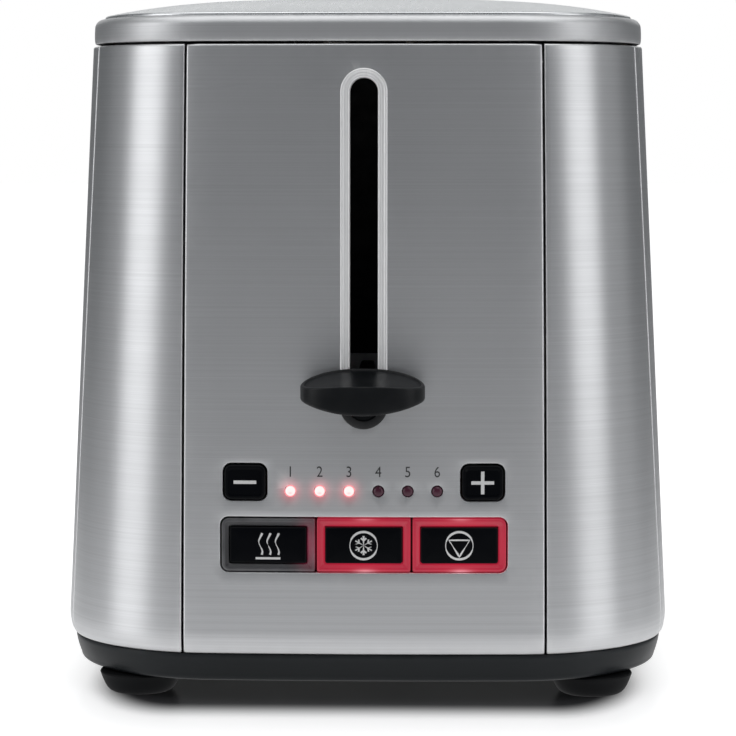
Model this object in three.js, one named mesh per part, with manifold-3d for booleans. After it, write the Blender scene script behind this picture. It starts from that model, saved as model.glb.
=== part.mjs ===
// A two-slice pop-up toaster in brushed steel, in millimetres. The lever end faces -Y, the base stands on
// z = 0, left is -X. The lever is modelled pushed down, in its toasting position.
import * as THREE from "three";
import { mergeVertices } from "three/addons/utils/BufferGeometryUtils.js";
import Module from "manifold-3d";

const wasm = await Module();
wasm.setup();

// Steel body. Width and length are at its widest level, just above the curl towards the base.
const bodyWidth = 178.4;
const bodyLength = 280;
const wall = 1;
const frontBulge = 1; // how far the middle of an end stands out from its edges
const sideBulge = 0.8;
const cornerWide = 42.4; // semi-axes of the elliptical corners in plan
const cornerDeep = 44;
const sideDraft = 0.0494; // inward lean of the sides for each millimetre of height
const endDraft = 0.031;
const curlHeight = 6; // the lowest part of the steel turns in towards the base
const curlDepth = 1.5;

// Heights, each added to the one below it.
const footHeight = 6.4;
const baseHeight = 8;
const shellHeight = 171.5;
const rimHeight = 4.6;
const shoulderHeight = 2.7;
const domeRise = 7.3;
const fitGap = 0.3; // between pieces that touch
const lidGap = 0.7; // shadow line under the lid
const rimInset = 0.4;
const shoulderDepth = 2.5;
const domePower = 3; // the dome is flat in the middle and falls off towards its edge

// Joints between the steel covers.
const seam = 0.6;
const panelHalfTop = 49.95;
const panelHalfBottom = 51.4;
const sideSeamDepth = 31; // from the end of the body to the joint of corner and side

// Bread slots and toasting wells.
const slotLength = 152;
const slotWidth = 31;
const slotRadius = 6;
const slotStart = 72; // from the front of the body
const slotSpacing = 54; // centre to centre
const collarDrop = 16;
const collarWall = 1;

// Lever, carriage and their guides.
const leverTravel = 82;
const armHeight = 8;
const armThick = 3;
const armRest = 90; // height of the lever arm's middle when it is down
const knobWidth = 34;
const knobReach = 19; // in front of the body's widest level
const knobDepth = 17.5;
const knobBottom = 84.6;
const knobFaceHeight = 7.8;
const knobBackHeight = 11.2;
const rodRadius = 2.5;
const rodOffset = 17;
const springRadius = 3.6;
const springWire = 0.6;
const springTurns = 11;

// Lever slot trim, measured along the leaning front panel.
const trimWidth = 13.2;
const trimBottom = 79;
const trimTop = 179.6;
const trimBar = 2.7;
const trimProud = 0.9;
const trimDepth = 3.5;
const trimTuck = 0.7; // how far the trim's flange covers the panel's edge

// Controls on the front panel.
const ledCount = 6;
const ledPitch = 8.25;
const ledRadius = 1.5;
const ledHeight = 61.4;
const dialButtonWidth = 11.6;
const dialButtonHeight = 9.8;
const dialButtonOffset = 33.4;
const dialButtonLevel = 63.8;
const functionWidth = 26.3; // one lit frame
const functionHeight = 14.9;
const functionGap = 0.6; // between two lit frames
const functionLevel = 46.1;
const lightBorder = 2.35; // lit edge around a cap
const buttonRadius = 2;
const buttonProud = 0.6;
const buttonDepth = 7;
const buttonClearance = 0.35;
const carrierSetback = 2.6; // behind the front panel's face
const boardSetback = 11;
const ledLength = 10;
const carrierThick = 1.6;
const boardThick = 1.6;

// Insides.
const mechanismDepth = 56; // front of the body to the front chassis plate
const chassisThick = 1.2;
const chassisHalf = 68;
const flangeDepth = 20;
const guardClosed = 9; // from the middle of a well
const guardWire = 1.6;
const guardBars = 9;
const rackThick = 2.5;
const rackHeight = 8;
const rackBars = 6;
const rackBarWidth = 12;
const rackLevel = 30;
const heaterThick = 1.2;
const heaterSpacing = 47; // from the middle heater to an outer one
const shieldSpacing = 58;
const coreWidth = 21;
const coreDepth = 7;
const coreLeg = 4.6;
const coreTop = 64;
const coreHeight = 24;

// Base, feet and crumb tray.
const baseStep = 0.2; // inside the lower edge of the steel
const baseTuck = 3.6; // inward lean of the base's sides
const baseWall = 2.5;
const baseFloor = 2.6;
const spigotHeight = 6;
const ventRows = 6;
const ventPitch = 20;
const ventHalfLength = 18;
const ventHalfWidth = 2;
const trayWidth = 116;
const trayHeight = 4.4;
const traySheet = 0.8;
const handleWidth = 84;
const handleReach = 5.5;
const footRadius = 11.8;
const footAcross = 65.4; // from the middle of the base
const footFromEnd = 22.6;
const screwRadius = 1.8;
const screwHeadRadius = 3.4;
const screwHeadHeight = 2.2;

// Cord inlet in the rear panel.
const glandBore = 4;
const glandFlange = 9;
const glandNeck = 6.4;
const glandTail = 5; // inside the rear panel
const glandReach = 6;
const glandAcross = -36;
const glandLevel = 34;

// Levels and places worked out from the sizes above.
const baseTop = footHeight + baseHeight;
const shellBottom = baseTop + fitGap;
const curlTop = shellBottom + curlHeight;
const shellTop = shellBottom + shellHeight;
const rimBottom = shellTop + lidGap;
const rimTop = rimBottom + rimHeight;
const shoulderTop = rimTop + shoulderHeight;
const plateBottom = shoulderTop + fitGap;
const frontEnd = -bodyLength / 2;
const slotMiddle = frontEnd + slotStart + slotLength / 2;
const frontPlate = frontEnd + mechanismDepth;
const rearPlate = slotMiddle + slotLength / 2 + 8;
const chassisBottom = baseTop + 2.6;
const chassisTop = shellTop - 4.2;
const carriageBack = frontPlate - chassisThick - 5;
const carriageFront = carriageBack - 1.5;
const rodPlace = carriageFront - 6;
const leanAngle = Math.atan(endDraft);
const functionPitch = functionWidth + functionGap;
const capWidth = functionWidth - 2 * lightBorder;
const capHeight = functionHeight - 2 * lightBorder;
const wellOffsets = [-slotSpacing / 2, slotSpacing / 2];
const knobFront = frontEnd - knobReach;
const reach = 600; // longer than any piece, for cuts that go right through
const cutReach = 20; // deeper than any cover, for cuts through one wall

const finishes = {
  steel: [0xc4c2be, 0.34, 1],
  lidSteel: [0xcfd2d6, 0.28, 1],
  darkPlastic: [0x24272a, 0.45, 0],
  gloss: [0x1b1c1e, 0.25, 0],
  rubber: [0x1c1c1d, 0.8, 0],
  trim: [0xd6d6d4, 0.2, 1],
  zinc: [0xa9abad, 0.4, 1],
  wire: [0xb9b9b6, 0.3, 1],
  mica: [0xb7a58a, 0.7, 0],
  iron: [0x77787a, 0.5, 1],
  copper: [0xb8672f, 0.4, 1],
  board: [0x1f5a38, 0.5, 0],
  ledLit: [0xff5570, 0.3, 0],
  ledDark: [0x5a2030, 0.3, 0],
  frameLit: [0xd82c48, 0.35, 0],
  frameDark: [0x55484a, 0.35, 0],
};

// Turns a closed geometry into a solid that can be joined and cut.
function solidOf(geometry) {
  const bare = geometry.clone();
  bare.deleteAttribute("normal");
  bare.deleteAttribute("uv");
  const merged = mergeVertices(bare, 1e-4);
  const mesh = new wasm.Mesh({
    numProp: 3,
    vertProperties: new Float32Array(merged.attributes.position.array),
    triVerts: new Uint32Array(merged.index.array),
  });
  return new wasm.Manifold(mesh);
}

function geometryOf(solid) {
  const mesh = solid.getMesh();
  const geometry = new THREE.BufferGeometry();
  geometry.setAttribute("position", new THREE.BufferAttribute(mesh.vertProperties, 3));
  geometry.setIndex(new THREE.BufferAttribute(mesh.triVerts, 1));
  const flat = geometry.toNonIndexed();
  flat.computeVertexNormals();
  return flat;
}

function joined(solids) {
  return solids.reduce((whole, next) => whole.add(next));
}

// A box given by its lowest and highest corners.
function boxBetween(low, high, matrix) {
  const size = high.map((value, axis) => value - low[axis]);
  const geometry = new THREE.BoxGeometry(...size);
  geometry.translate(...high.map((value, axis) => (value + low[axis]) / 2));
  if (matrix) geometry.applyMatrix4(matrix);
  return solidOf(geometry);
}

// A plate with its outline in X and Z, between two Y planes.
function slab(shape, near, far, matrix, curveSegments = 4) {
  const geometry = new THREE.ExtrudeGeometry(shape, { depth: far - near, bevelEnabled: false, curveSegments });
  geometry.rotateX(Math.PI / 2);
  geometry.translate(0, far, 0);
  if (matrix) geometry.applyMatrix4(matrix);
  return solidOf(geometry);
}

// A plate with its outline in Y and Z, between two X planes.
function sidePlate(shape, left, right) {
  const geometry = new THREE.ExtrudeGeometry(shape, { depth: right - left, bevelEnabled: false });
  geometry.rotateX(Math.PI / 2);
  geometry.rotateZ(Math.PI / 2);
  geometry.translate(left, 0, 0);
  return solidOf(geometry);
}

// A plate with its outline in X and Y, between two heights.
function prism(shape, bottom, top, curveSegments = 4) {
  const options = { depth: top - bottom, bevelEnabled: false, curveSegments };
  const geometry = new THREE.ExtrudeGeometry(shape, options);
  geometry.translate(0, 0, bottom);
  return solidOf(geometry);
}

function roundedRectangle(x, y, width, height, radius) {
  const shape = new THREE.Shape();
  const right = x + width / 2 - radius;
  const left = x - width / 2 + radius;
  const top = y + height / 2 - radius;
  const bottom = y - height / 2 + radius;
  shape.moveTo(left, bottom - radius);
  shape.lineTo(right, bottom - radius);
  shape.absarc(right, bottom, radius, -Math.PI / 2, 0, false);
  shape.absarc(right, top, radius, 0, Math.PI / 2, false);
  shape.absarc(left, top, radius, Math.PI / 2, Math.PI, false);
  shape.absarc(left, bottom, radius, Math.PI, 1.5 * Math.PI, false);
  return shape;
}

function circle(x, y, radius) {
  const shape = new THREE.Shape();
  shape.absarc(x, y, radius, 0, 2 * Math.PI, false);
  return shape;
}

// An upright slot with round ends.
function leverSlotShape(width, bottom, top) {
  const shape = new THREE.Shape();
  const radius = width / 2;
  shape.absarc(0, top - radius, radius, 0, Math.PI, false);
  shape.absarc(0, bottom + radius, radius, Math.PI, 2 * Math.PI, false);
  return shape;
}

// A ring or bush from a profile of [radius, height] points, turned about an axis that stands upright and is then
// tilted about X.
function turned(profile, segments = 20, tilt = 0) {
  const points = profile.map(([radius, height]) => new THREE.Vector2(radius, height));
  const geometry = new THREE.LatheGeometry(points, segments);
  geometry.rotateX(Math.PI / 2 + tilt);
  return solidOf(geometry);
}

// Plan outline of the body: slightly bowed ends and sides joined by elliptical corners.
function bodyOutline() {
  const middleX = bodyWidth / 2 - sideBulge - cornerWide;
  const middleY = bodyLength / 2 - frontBulge - cornerDeep;
  const edgeX = middleX + cornerWide;
  const edgeY = middleY + cornerDeep;
  const quarter = Math.PI / 2;
  const shape = new THREE.Shape();
  shape.moveTo(-middleX, -edgeY);
  shape.quadraticCurveTo(0, -edgeY - 2 * frontBulge, middleX, -edgeY);
  shape.absellipse(middleX, -middleY, cornerWide, cornerDeep, -quarter, 0, false, 0);
  shape.quadraticCurveTo(edgeX + 2 * sideBulge, 0, edgeX, middleY);
  shape.absellipse(middleX, middleY, cornerWide, cornerDeep, 0, quarter, false, 0);
  shape.quadraticCurveTo(0, edgeY + 2 * frontBulge, -middleX, edgeY);
  shape.absellipse(-middleX, middleY, cornerWide, cornerDeep, quarter, 2 * quarter, false, 0);
  shape.quadraticCurveTo(-edgeX - 2 * sideBulge, 0, -edgeX, -middleY);
  shape.absellipse(-middleX, -middleY, cornerWide, cornerDeep, 2 * quarter, 3 * quarter, false, 0);
  return shape;
}

// How far the wall has leaned or curled in at a height, for a given lean.
function wallInset(z, draft) {
  if (z >= curlTop) return draft * (z - curlTop);
  const share = (curlTop - z) / curlHeight;
  return curlDepth * (1 - Math.sqrt(Math.max(0, 1 - share * share)));
}

// One level of a lofted piece: the body's outline drawn in by an inset at a height.
function level(z, insetX, insetY = insetX) {
  return { z, scaleX: 1 - insetX / (bodyWidth / 2), scaleY: 1 - insetY / (bodyLength / 2) };
}

function bodyLevel(z, inset) {
  const inside = Math.min(Math.max(z, shellBottom), shellTop);
  return level(z, wallInset(inside, sideDraft) + inset, wallInset(inside, endDraft) + inset);
}

// Stacks copies of the body's outline at the given levels into one solid.
function loft(levels) {
  const steps = levels.length - 1;
  const options = { depth: steps, steps, bevelEnabled: false, curveSegments: 4 };
  const geometry = new THREE.ExtrudeGeometry(bodyOutline(), options);
  const place = geometry.attributes.position;
  for (let i = 0; i < place.count; i++) {
    const here = levels[Math.round(place.getZ(i))];
    place.setXYZ(i, place.getX(i) * here.scaleX, place.getY(i) * here.scaleY, here.z);
  }
  return solidOf(geometry);
}

// The whole steel wall, before it is parted into covers.
function bodyShell() {
  const heights = [0, 0.2, 0.5, 1].map((share) => shellBottom + share * curlHeight);
  const outer = loft([...heights, shellTop].map((z) => bodyLevel(z, 0)));
  const innerHeights = [shellBottom - 1, ...heights, shellTop, shellTop + 1];
  const inner = loft(innerHeights.map((z) => bodyLevel(z, wall)));
  return outer.subtract(inner);
}

// Half the width of an end panel at a height, with room for half of the seam beside it.
function panelHalfAt(z) {
  const share = (z - shellBottom) / shellHeight;
  return panelHalfBottom + (panelHalfTop - panelHalfBottom) * share;
}

// The region in front of a Y plane that an end panel fills, widened by a margin.
function endRegion(side, margin) {
  const bottom = shellBottom - 5;
  const top = shellTop + 5;
  const shape = new THREE.Shape();
  shape.moveTo(-panelHalfAt(bottom) - margin, bottom);
  shape.lineTo(panelHalfAt(bottom) + margin, bottom);
  shape.lineTo(panelHalfAt(top) + margin, top);
  shape.lineTo(-panelHalfAt(top) - margin, top);
  const inner = side * (bodyLength / 2 - sideSeamDepth);
  const outer = side * reach;
  return slab(shape, Math.min(inner, outer), Math.max(inner, outer));
}

function endPanel(shell, side) {
  return shell.intersect(endRegion(side, -seam / 2));
}

function cornerCover(shell, sideX, sideY) {
  const inner = bodyLength / 2 - sideSeamDepth + seam / 2;
  const low = [sideX > 0 ? 0 : -reach, sideY > 0 ? inner : -reach, 0];
  const high = [sideX > 0 ? reach : 0, sideY > 0 ? reach : -inner, reach];
  return shell.intersect(boxBetween(low, high)).subtract(endRegion(sideY, seam / 2));
}

function sidePanel(shell, side) {
  const limit = bodyLength / 2 - sideSeamDepth - seam / 2;
  const low = [side > 0 ? 0 : -reach, -limit, 0];
  const high = [side > 0 ? reach : 0, limit, reach];
  return shell.intersect(boxBetween(low, high));
}

// The leaning front face: its own X and Z lie in the panel, and its Y points into the body.
const frontFace = new THREE.Group();
frontFace.position.set(0, frontEnd - endDraft * curlTop, 0);
frontFace.rotation.x = -leanAngle;
frontFace.updateMatrix();

const rearFace = new THREE.Group();
rearFace.position.set(0, -frontFace.position.y, 0);
rearFace.rotation.x = leanAngle;
rearFace.updateMatrix();

function ledPlaces() {
  return Array.from({ length: ledCount }, (_, i) => (i - (ledCount - 1) / 2) * ledPitch);
}

function functionPlaces() {
  return [-functionPitch, 0, functionPitch];
}

// Openings for the controls, grown by a margin.
function controlOpenings(margin, near, far, matrix) {
  const grow = 2 * (margin + buttonClearance);
  const rowWidth = 2 * functionPitch + functionWidth + grow;
  const row = roundedRectangle(0, functionLevel, rowWidth, functionHeight + grow, buttonRadius + margin);
  const cuts = [slab(row, near, far, matrix)];
  for (const x of [-dialButtonOffset, dialButtonOffset]) {
    const width = dialButtonWidth + grow;
    const hole = roundedRectangle(x, dialButtonLevel, width, dialButtonHeight + grow, buttonRadius + margin);
    cuts.push(slab(hole, near, far, matrix));
  }
  for (const x of ledPlaces()) cuts.push(slab(circle(x, ledHeight, ledRadius + fitGap), near, far, matrix));
  return joined(cuts);
}

function frontPanel(shell) {
  const panel = endPanel(shell, -1);
  const trimHole = leverSlotShape(trimWidth - 2 * trimTuck, trimBottom + trimTuck, trimTop - trimTuck);
  const cuts = controlOpenings(0, -cutReach, cutReach, frontFace.matrix);
  return panel.subtract(slab(trimHole, -cutReach, cutReach, frontFace.matrix, 6)).subtract(cuts);
}

function leverSlotTrim() {
  const flange = slab(leverSlotShape(trimWidth, trimBottom, trimTop), -fitGap - trimProud, -fitGap, null, 8);
  const spigotInset = trimTuck + fitGap;
  const spigotWidth = trimWidth - 2 * spigotInset;
  const spigotShape = leverSlotShape(spigotWidth, trimBottom + spigotInset, trimTop - spigotInset);
  const spigot = slab(spigotShape, -fitGap - trimProud / 2, trimDepth, null, 8);
  const opening = leverSlotShape(trimWidth - 2 * trimBar, trimBottom + trimBar, trimTop - trimBar);
  return flange.add(spigot).subtract(slab(opening, -cutReach, cutReach, null, 8));
}

function buttonCarrier() {
  const near = carrierSetback;
  const width = 2 * panelHalfTop - 8;
  const bottom = functionLevel - functionHeight / 2 - 4;
  const top = dialButtonLevel + dialButtonHeight / 2 + 3;
  const outline = roundedRectangle(0, (bottom + top) / 2, width, top - bottom, 2);
  const plate = slab(outline, near, near + carrierThick);
  return plate.subtract(controlOpenings(0.1, 0, cutReach));
}

// A push button that fills its opening and stands slightly proud of the panel.
function buttonCap(width, height) {
  const shape = roundedRectangle(0, 0, width, height, buttonRadius);
  return slab(shape, -buttonProud, buttonDepth);
}

function lightFrame() {
  const outer = slab(roundedRectangle(0, 0, functionWidth, functionHeight, buttonRadius), -0.2, buttonDepth);
  const hole = roundedRectangle(0, 0, capWidth + 2 * fitGap, capHeight + 2 * fitGap, buttonRadius);
  return outer.subtract(slab(hole, -5, buttonDepth + 5));
}

// A round indicator: a cylinder with a domed nose, its axis along Y.
function indicator() {
  const nose = [[ledRadius, -0.2], [0.75 * ledRadius, 0.5], [0, 0.8]];
  return turned([[0, -ledLength], [ledRadius, -ledLength], ...nose], 12, Math.PI / 2);
}

function controlBoard() {
  const near = boardSetback;
  const width = 2 * panelHalfTop - 12;
  const bottom = functionLevel - functionHeight / 2 - 6;
  const top = dialButtonLevel + dialButtonHeight / 2 + 4;
  return slab(roundedRectangle(0, (bottom + top) / 2, width, top - bottom, 1), near, near + boardThick);
}

function lidRim() {
  const topX = wallInset(shellTop, sideDraft) + rimInset;
  const topY = wallInset(shellTop, endDraft) + rimInset;
  const ring = (z, inset) => level(z, topX + inset, topY + inset);
  const shoulder = [0.35, 0.7, 0.92, 1].map((share) => {
    const turn = share * (Math.PI / 2);
    return { z: rimTop + shoulderHeight * Math.sin(turn), inset: shoulderDepth * (1 - Math.cos(turn)) };
  });
  const outer = loft([ring(rimBottom, 0), ring(rimTop, 0), ...shoulder.map((s) => ring(s.z, s.inset))]);
  const inner = [ring(rimBottom - 1, wall), ring(rimTop, wall), ring(shoulderTop + 1, shoulderDepth + wall)];
  return outer.subtract(loft(inner));
}

// One skin of the domed plate: rings that shrink towards the middle and rise by the dome's curve.
function domeSkin(drop, edgeInset) {
  const edgeX = wallInset(shellTop, sideDraft) + rimInset + shoulderDepth + edgeInset;
  const edgeY = wallInset(shellTop, endDraft) + rimInset + shoulderDepth + edgeInset;
  const rings = [1, 0.9, 0.8, 0.68, 0.5, 0.25];
  const bottom = level(plateBottom - drop, edgeX, edgeY);
  const risen = rings.map((share) => ({
    z: plateBottom + domeRise * (1 - share ** domePower) - drop + 0.6,
    scaleX: bottom.scaleX * share,
    scaleY: bottom.scaleY * share,
  }));
  return loft([bottom, ...risen]);
}

function slotPrism(x, grow, bottom, top) {
  const shape = roundedRectangle(x, slotMiddle, slotWidth + 2 * grow, slotLength + 2 * grow, slotRadius + grow);
  return prism(shape, bottom, top, 2);
}

function lidPlate() {
  const outer = domeSkin(0, fitGap);
  const inner = domeSkin(wall + 0.2, fitGap + wall);
  const collarBottom = plateBottom - collarDrop;
  const skirts = wellOffsets.map((x) => slotPrism(x, collarWall, collarBottom, plateBottom + 0.5));
  const neckAt = (x) => slotPrism(x, collarWall, plateBottom, plateBottom + 30);
  const necks = wellOffsets.map((x) => neckAt(x).intersect(outer));
  const openings = wellOffsets.map((x) => slotPrism(x, 0, collarBottom - 5, plateBottom + 30));
  return joined([outer.subtract(inner), ...skirts, ...necks]).subtract(joined(openings));
}

// The moulded base: a shallow tub that tucks in towards the feet, with a spigot up inside the steel.
function baseTub() {
  const side = (share) => {
    const inset = curlDepth + baseStep + baseTuck * (1 - share) ** 1.6;
    return level(footHeight + share * baseHeight, inset);
  };
  const spigotInset = curlDepth + wall + 2 * fitGap;
  const top = baseTop + spigotHeight;
  const tub = loft([0, 0.15, 0.4, 1].map(side));
  const spigot = loft([level(footHeight + baseFloor / 2, spigotInset), level(top, spigotInset)]);
  const hollowInset = spigotInset + baseWall;
  const hollow = loft([
    level(footHeight + baseFloor, hollowInset + 2.5),
    level(baseTop, hollowInset),
    level(top + 1, hollowInset),
  ]);
  return tub.add(spigot).subtract(hollow);
}

function trayPlaces() {
  const rear = bodyLength / 2 - curlDepth - 3.2;
  const bottom = footHeight + baseFloor + 2 * fitGap;
  return { front: frontPlate + 8, rear, bottom, top: bottom + trayHeight };
}

// Vents in the base, under the crumb tray.
function baseVents() {
  const vents = [];
  for (let i = 0; i < ventRows; i++) {
    const y = slotMiddle + (i - (ventRows - 1) / 2) * ventPitch;
    for (const x of wellOffsets) {
      const low = [x - ventHalfLength, y - ventHalfWidth, 0];
      vents.push(boxBetween(low, [x + ventHalfLength, y + ventHalfWidth, baseTop - 1]));
    }
  }
  return joined(vents);
}

function footPlaces() {
  const y = bodyLength / 2 - footFromEnd;
  return [
    ["front_left", -footAcross, -y],
    ["front_right", footAcross, -y],
    ["rear_left", -footAcross, y],
    ["rear_right", footAcross, y],
  ];
}

function base() {
  const tray = trayPlaces();
  const half = trayWidth / 2 + 2 * fitGap;
  const floorTop = footHeight + baseFloor;
  const channel = 0.4; // the tray runs in a shallow channel in the floor
  const doorway = boxBetween([-half, tray.front, floorTop - channel], [half, reach, shellTop]);
  const ledgeTop = chassisBottom - fitGap;
  const ledges = [];
  for (const y of [frontPlate - chassisThick / 2, rearPlate + chassisThick / 2]) {
    for (const x of [-1, 1]) {
      const ends = [x * (half + 1.5), x * (chassisHalf + 3)].sort((a, b) => a - b);
      ledges.push(boxBetween([ends[0], y - 3, floorTop - 1], [ends[1], y + 3, ledgeTop]));
    }
  }
  const screwHoles = footPlaces().map(([, x, y]) => prism(circle(x, y, screwRadius + fitGap), 0, floorTop + 1));
  return joined([baseTub().subtract(doorway), ...ledges]).subtract(baseVents()).subtract(joined(screwHoles));
}

// A round foot that narrows towards the table, with a recess for its screw.
function foot() {
  const top = footHeight - fitGap;
  const recess = screwHeadRadius + 0.6;
  const recessTop = screwHeadHeight + 1.6;
  const bore = screwRadius + fitGap;
  const profile = [
    [recess, 0],
    [footRadius - 3.6, 0],
    [footRadius - 2.3, 0.7],
    [footRadius - 1.4, 2.2],
    [footRadius, top],
    [bore, top],
    [bore, recessTop],
    [recess, recessTop],
    [recess, 0],
  ];
  return turned(profile, 18);
}

function footScrew() {
  const headBottom = 1.3;
  const headTop = headBottom + screwHeadHeight;
  const tip = footHeight + baseFloor - 0.2;
  const profile = [
    [0, headBottom],
    [screwHeadRadius, headBottom + 0.5],
    [screwHeadRadius, headTop],
    [screwRadius, headTop],
  ];
  const screw = turned([...profile, [screwRadius, tip], [0, tip]], 12);
  const slotHalf = 0.4;
  return screw.subtract(boxBetween([-9, -slotHalf, headBottom - 1], [9, slotHalf, headBottom + 0.9]));
}

function crumbTray() {
  const { front, rear, bottom, top } = trayPlaces();
  const half = trayWidth / 2;
  const outer = boxBetween([-half, front + 1, bottom], [half, rear, top]);
  const inner = boxBetween([-half + 1, front + 2, bottom + traySheet], [half - 1, rear - 1, top + 5]);
  return outer.subtract(inner);
}

function trayHandle() {
  const { rear, bottom, top } = trayPlaces();
  const shape = roundedRectangle(0, rear + fitGap + handleReach / 2, handleWidth, handleReach, 2);
  const plate = prism(shape, bottom, top);
  const scoopHalf = handleWidth / 2 - 8;
  const scoop = boxBetween([-scoopHalf, rear + 2.6, bottom - 1], [scoopHalf, rear + 4, bottom + 2.4]);
  return plate.subtract(scoop);
}

// A vertical plate across the body with a tall slot for each bread rack.
function chassisPlate(y, extras) {
  const plate = boxBetween([-chassisHalf, y - chassisThick, chassisBottom], [chassisHalf, y, chassisTop]);
  const slots = wellOffsets.map((x) => {
    const half = rackThick / 2 + 1.2;
    const top = rackLevel + rackHeight + leverTravel + 3;
    return boxBetween([x - half, y - 5, rackLevel - 3], [x + half, y + 5, top]);
  });
  return joined([plate, ...extras]).subtract(joined(slots));
}

function frontChassis() {
  const near = frontPlate - flangeDepth;
  const half = rodOffset + 7;
  const topFlange = boxBetween([-half, near, chassisTop - 1.5], [half, frontPlate - 0.5, chassisTop]);
  const flangeLow = [-half, near - 8, chassisBottom];
  const bottomFlange = boxBetween(flangeLow, [half, frontPlate - 0.5, chassisBottom + 1.5]);
  const post = magnetPlace();
  const pedestalTop = coreTop - coreHeight - fitGap;
  const pedestal = boxBetween([-8, post - 2, chassisBottom], [8, post + 2, pedestalTop]);
  const rodHole = prism(circle(rodOffset, rodPlace, rodRadius + fitGap), chassisTop - 5, reach, 6);
  const rodSeat = prism(circle(rodOffset, rodPlace, rodRadius + fitGap), 0, chassisBottom + 5, 6);
  const plate = chassisPlate(frontPlate, [topFlange, bottomFlange, pedestal]);
  return plate.subtract(rodHole).subtract(rodSeat);
}

function magnetPlace() {
  return carriageFront - 13;
}

function guideRod() {
  return prism(circle(rodOffset, rodPlace, rodRadius), chassisBottom + 0.2, chassisTop + 1, 8);
}

// The stamped carriage: a wide plate with a tongue for the lever arm, a bush on the rod and a spring tab.
function carriage() {
  const wide = slotSpacing / 2 + 8;
  const bottom = rackLevel - 6;
  const plateTop = rackLevel + 30;
  const tongueTop = armRest + armHeight / 2 + 2;
  const plate = boxBetween([-wide, carriageFront, bottom], [wide, carriageBack, plateTop]);
  const tongue = boxBetween([-8, carriageFront, plateTop - 1], [8, carriageBack, tongueTop]);
  const bushHalf = rodRadius + 3;
  const bushLow = [rodOffset - bushHalf, rodPlace - bushHalf, bottom + 2];
  const bushHigh = [rodOffset + bushHalf, carriageFront + 0.5, plateTop - 2];
  const tabLow = [-rodOffset - 4, rodPlace - 4, bottom + 2];
  const tab = boxBetween(tabLow, [-rodOffset + 4, carriageFront + 0.5, bottom + 3.5]);
  const bore = prism(circle(rodOffset, rodPlace, rodRadius + fitGap), 0, reach, 6);
  return joined([plate, tongue, boxBetween(bushLow, bushHigh), tab]).subtract(bore);
}

function springEnds() {
  return { bottom: rackLevel - 2.5 + fitGap, top: chassisTop - 1.5 - fitGap };
}

class Helix extends THREE.Curve {
  constructor(radius, bottom, top, turns) {
    super();
    Object.assign(this, { radius, bottom, top, turns });
  }

  getPoint(share, target = new THREE.Vector3()) {
    const angle = 2 * Math.PI * this.turns * share;
    const z = this.bottom + (this.top - this.bottom) * share;
    return target.set(this.radius * Math.cos(angle), this.radius * Math.sin(angle), z);
  }
}

function carriageSpring() {
  const { bottom, top } = springEnds();
  const path = new Helix(springRadius, bottom + springWire, top - springWire, springTurns);
  const section = new THREE.Shape();
  section.absarc(0, 0, springWire, 0, 2 * Math.PI, false);
  const steps = springTurns * 8;
  return solidOf(new THREE.ExtrudeGeometry(section, { steps, extrudePath: path, curveSegments: 2 }));
}

function leverArm() {
  const half = armThick / 2;
  const low = armRest - armHeight / 2;
  const high = armRest + armHeight / 2;
  const tip = knobFront + knobDepth - 9;
  const blade = boxBetween([-half, tip, low], [half, carriageFront - fitGap, high]);
  const heel = boxBetween([-6, carriageFront - fitGap - 1.5, low], [6, carriageFront - fitGap, high]);
  return blade.add(heel);
}

// A lens-shaped knob: a bowed front face below a top that slopes up towards the body.
function leverKnob() {
  const half = knobWidth / 2;
  const back = knobFront + knobDepth;
  const endDepth = 6;
  const plan = new THREE.Shape();
  plan.moveTo(-half + 1.5, back);
  plan.lineTo(-half, back - 1.5);
  plan.lineTo(-half, back - endDepth);
  plan.quadraticCurveTo(-half + 1, back - endDepth - 3, -half + 4.5, back - endDepth - 5);
  plan.quadraticCurveTo(0, 2 * knobFront - (back - endDepth - 5), half - 4.5, back - endDepth - 5);
  plan.quadraticCurveTo(half - 1, back - endDepth - 3, half, back - endDepth);
  plan.lineTo(half, back - 1.5);
  plan.lineTo(half - 1.5, back);
  const block = prism(plan, knobBottom, knobBottom + knobBackHeight, 8);
  const faceTop = knobBottom + knobFaceHeight;
  const slope = new THREE.Shape();
  slope.moveTo(knobFront - 5, faceTop - 1);
  slope.lineTo(back - 2, knobBottom + knobBackHeight);
  slope.lineTo(back + 5, knobBottom + knobBackHeight);
  slope.lineTo(back + 5, knobBottom + 30);
  slope.lineTo(knobFront - 5, knobBottom + 30);
  const cut = sidePlate(slope, -knobWidth, knobWidth);
  const socketHalf = armThick / 2 + fitGap;
  const low = armRest - armHeight / 2 - fitGap;
  const high = armRest + armHeight / 2 + fitGap;
  const socket = boxBetween([-socketHalf, back - 9 - fitGap, low], [socketHalf, back + 5, high]);
  return block.subtract(cut).subtract(socket);
}

// A comb strip that carries one slice, with cross bars under the bread.
function breadRack(x) {
  const front = carriageBack + fitGap;
  const rear = rearPlate + 4;
  const half = rackThick / 2;
  const strip = boxBetween([x - half, front, rackLevel], [x + half, rear, rackLevel + rackHeight]);
  const bars = [];
  for (let i = 0; i < rackBars; i++) {
    const y = slotMiddle + (i - (rackBars - 1) / 2) * (slotLength / rackBars);
    const low = [x - rackBarWidth / 2, y - 1, rackLevel + rackHeight - 2];
    bars.push(boxBetween(low, [x + rackBarWidth / 2, y + 1, rackLevel + rackHeight]));
  }
  return joined([strip, ...bars]);
}

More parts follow.
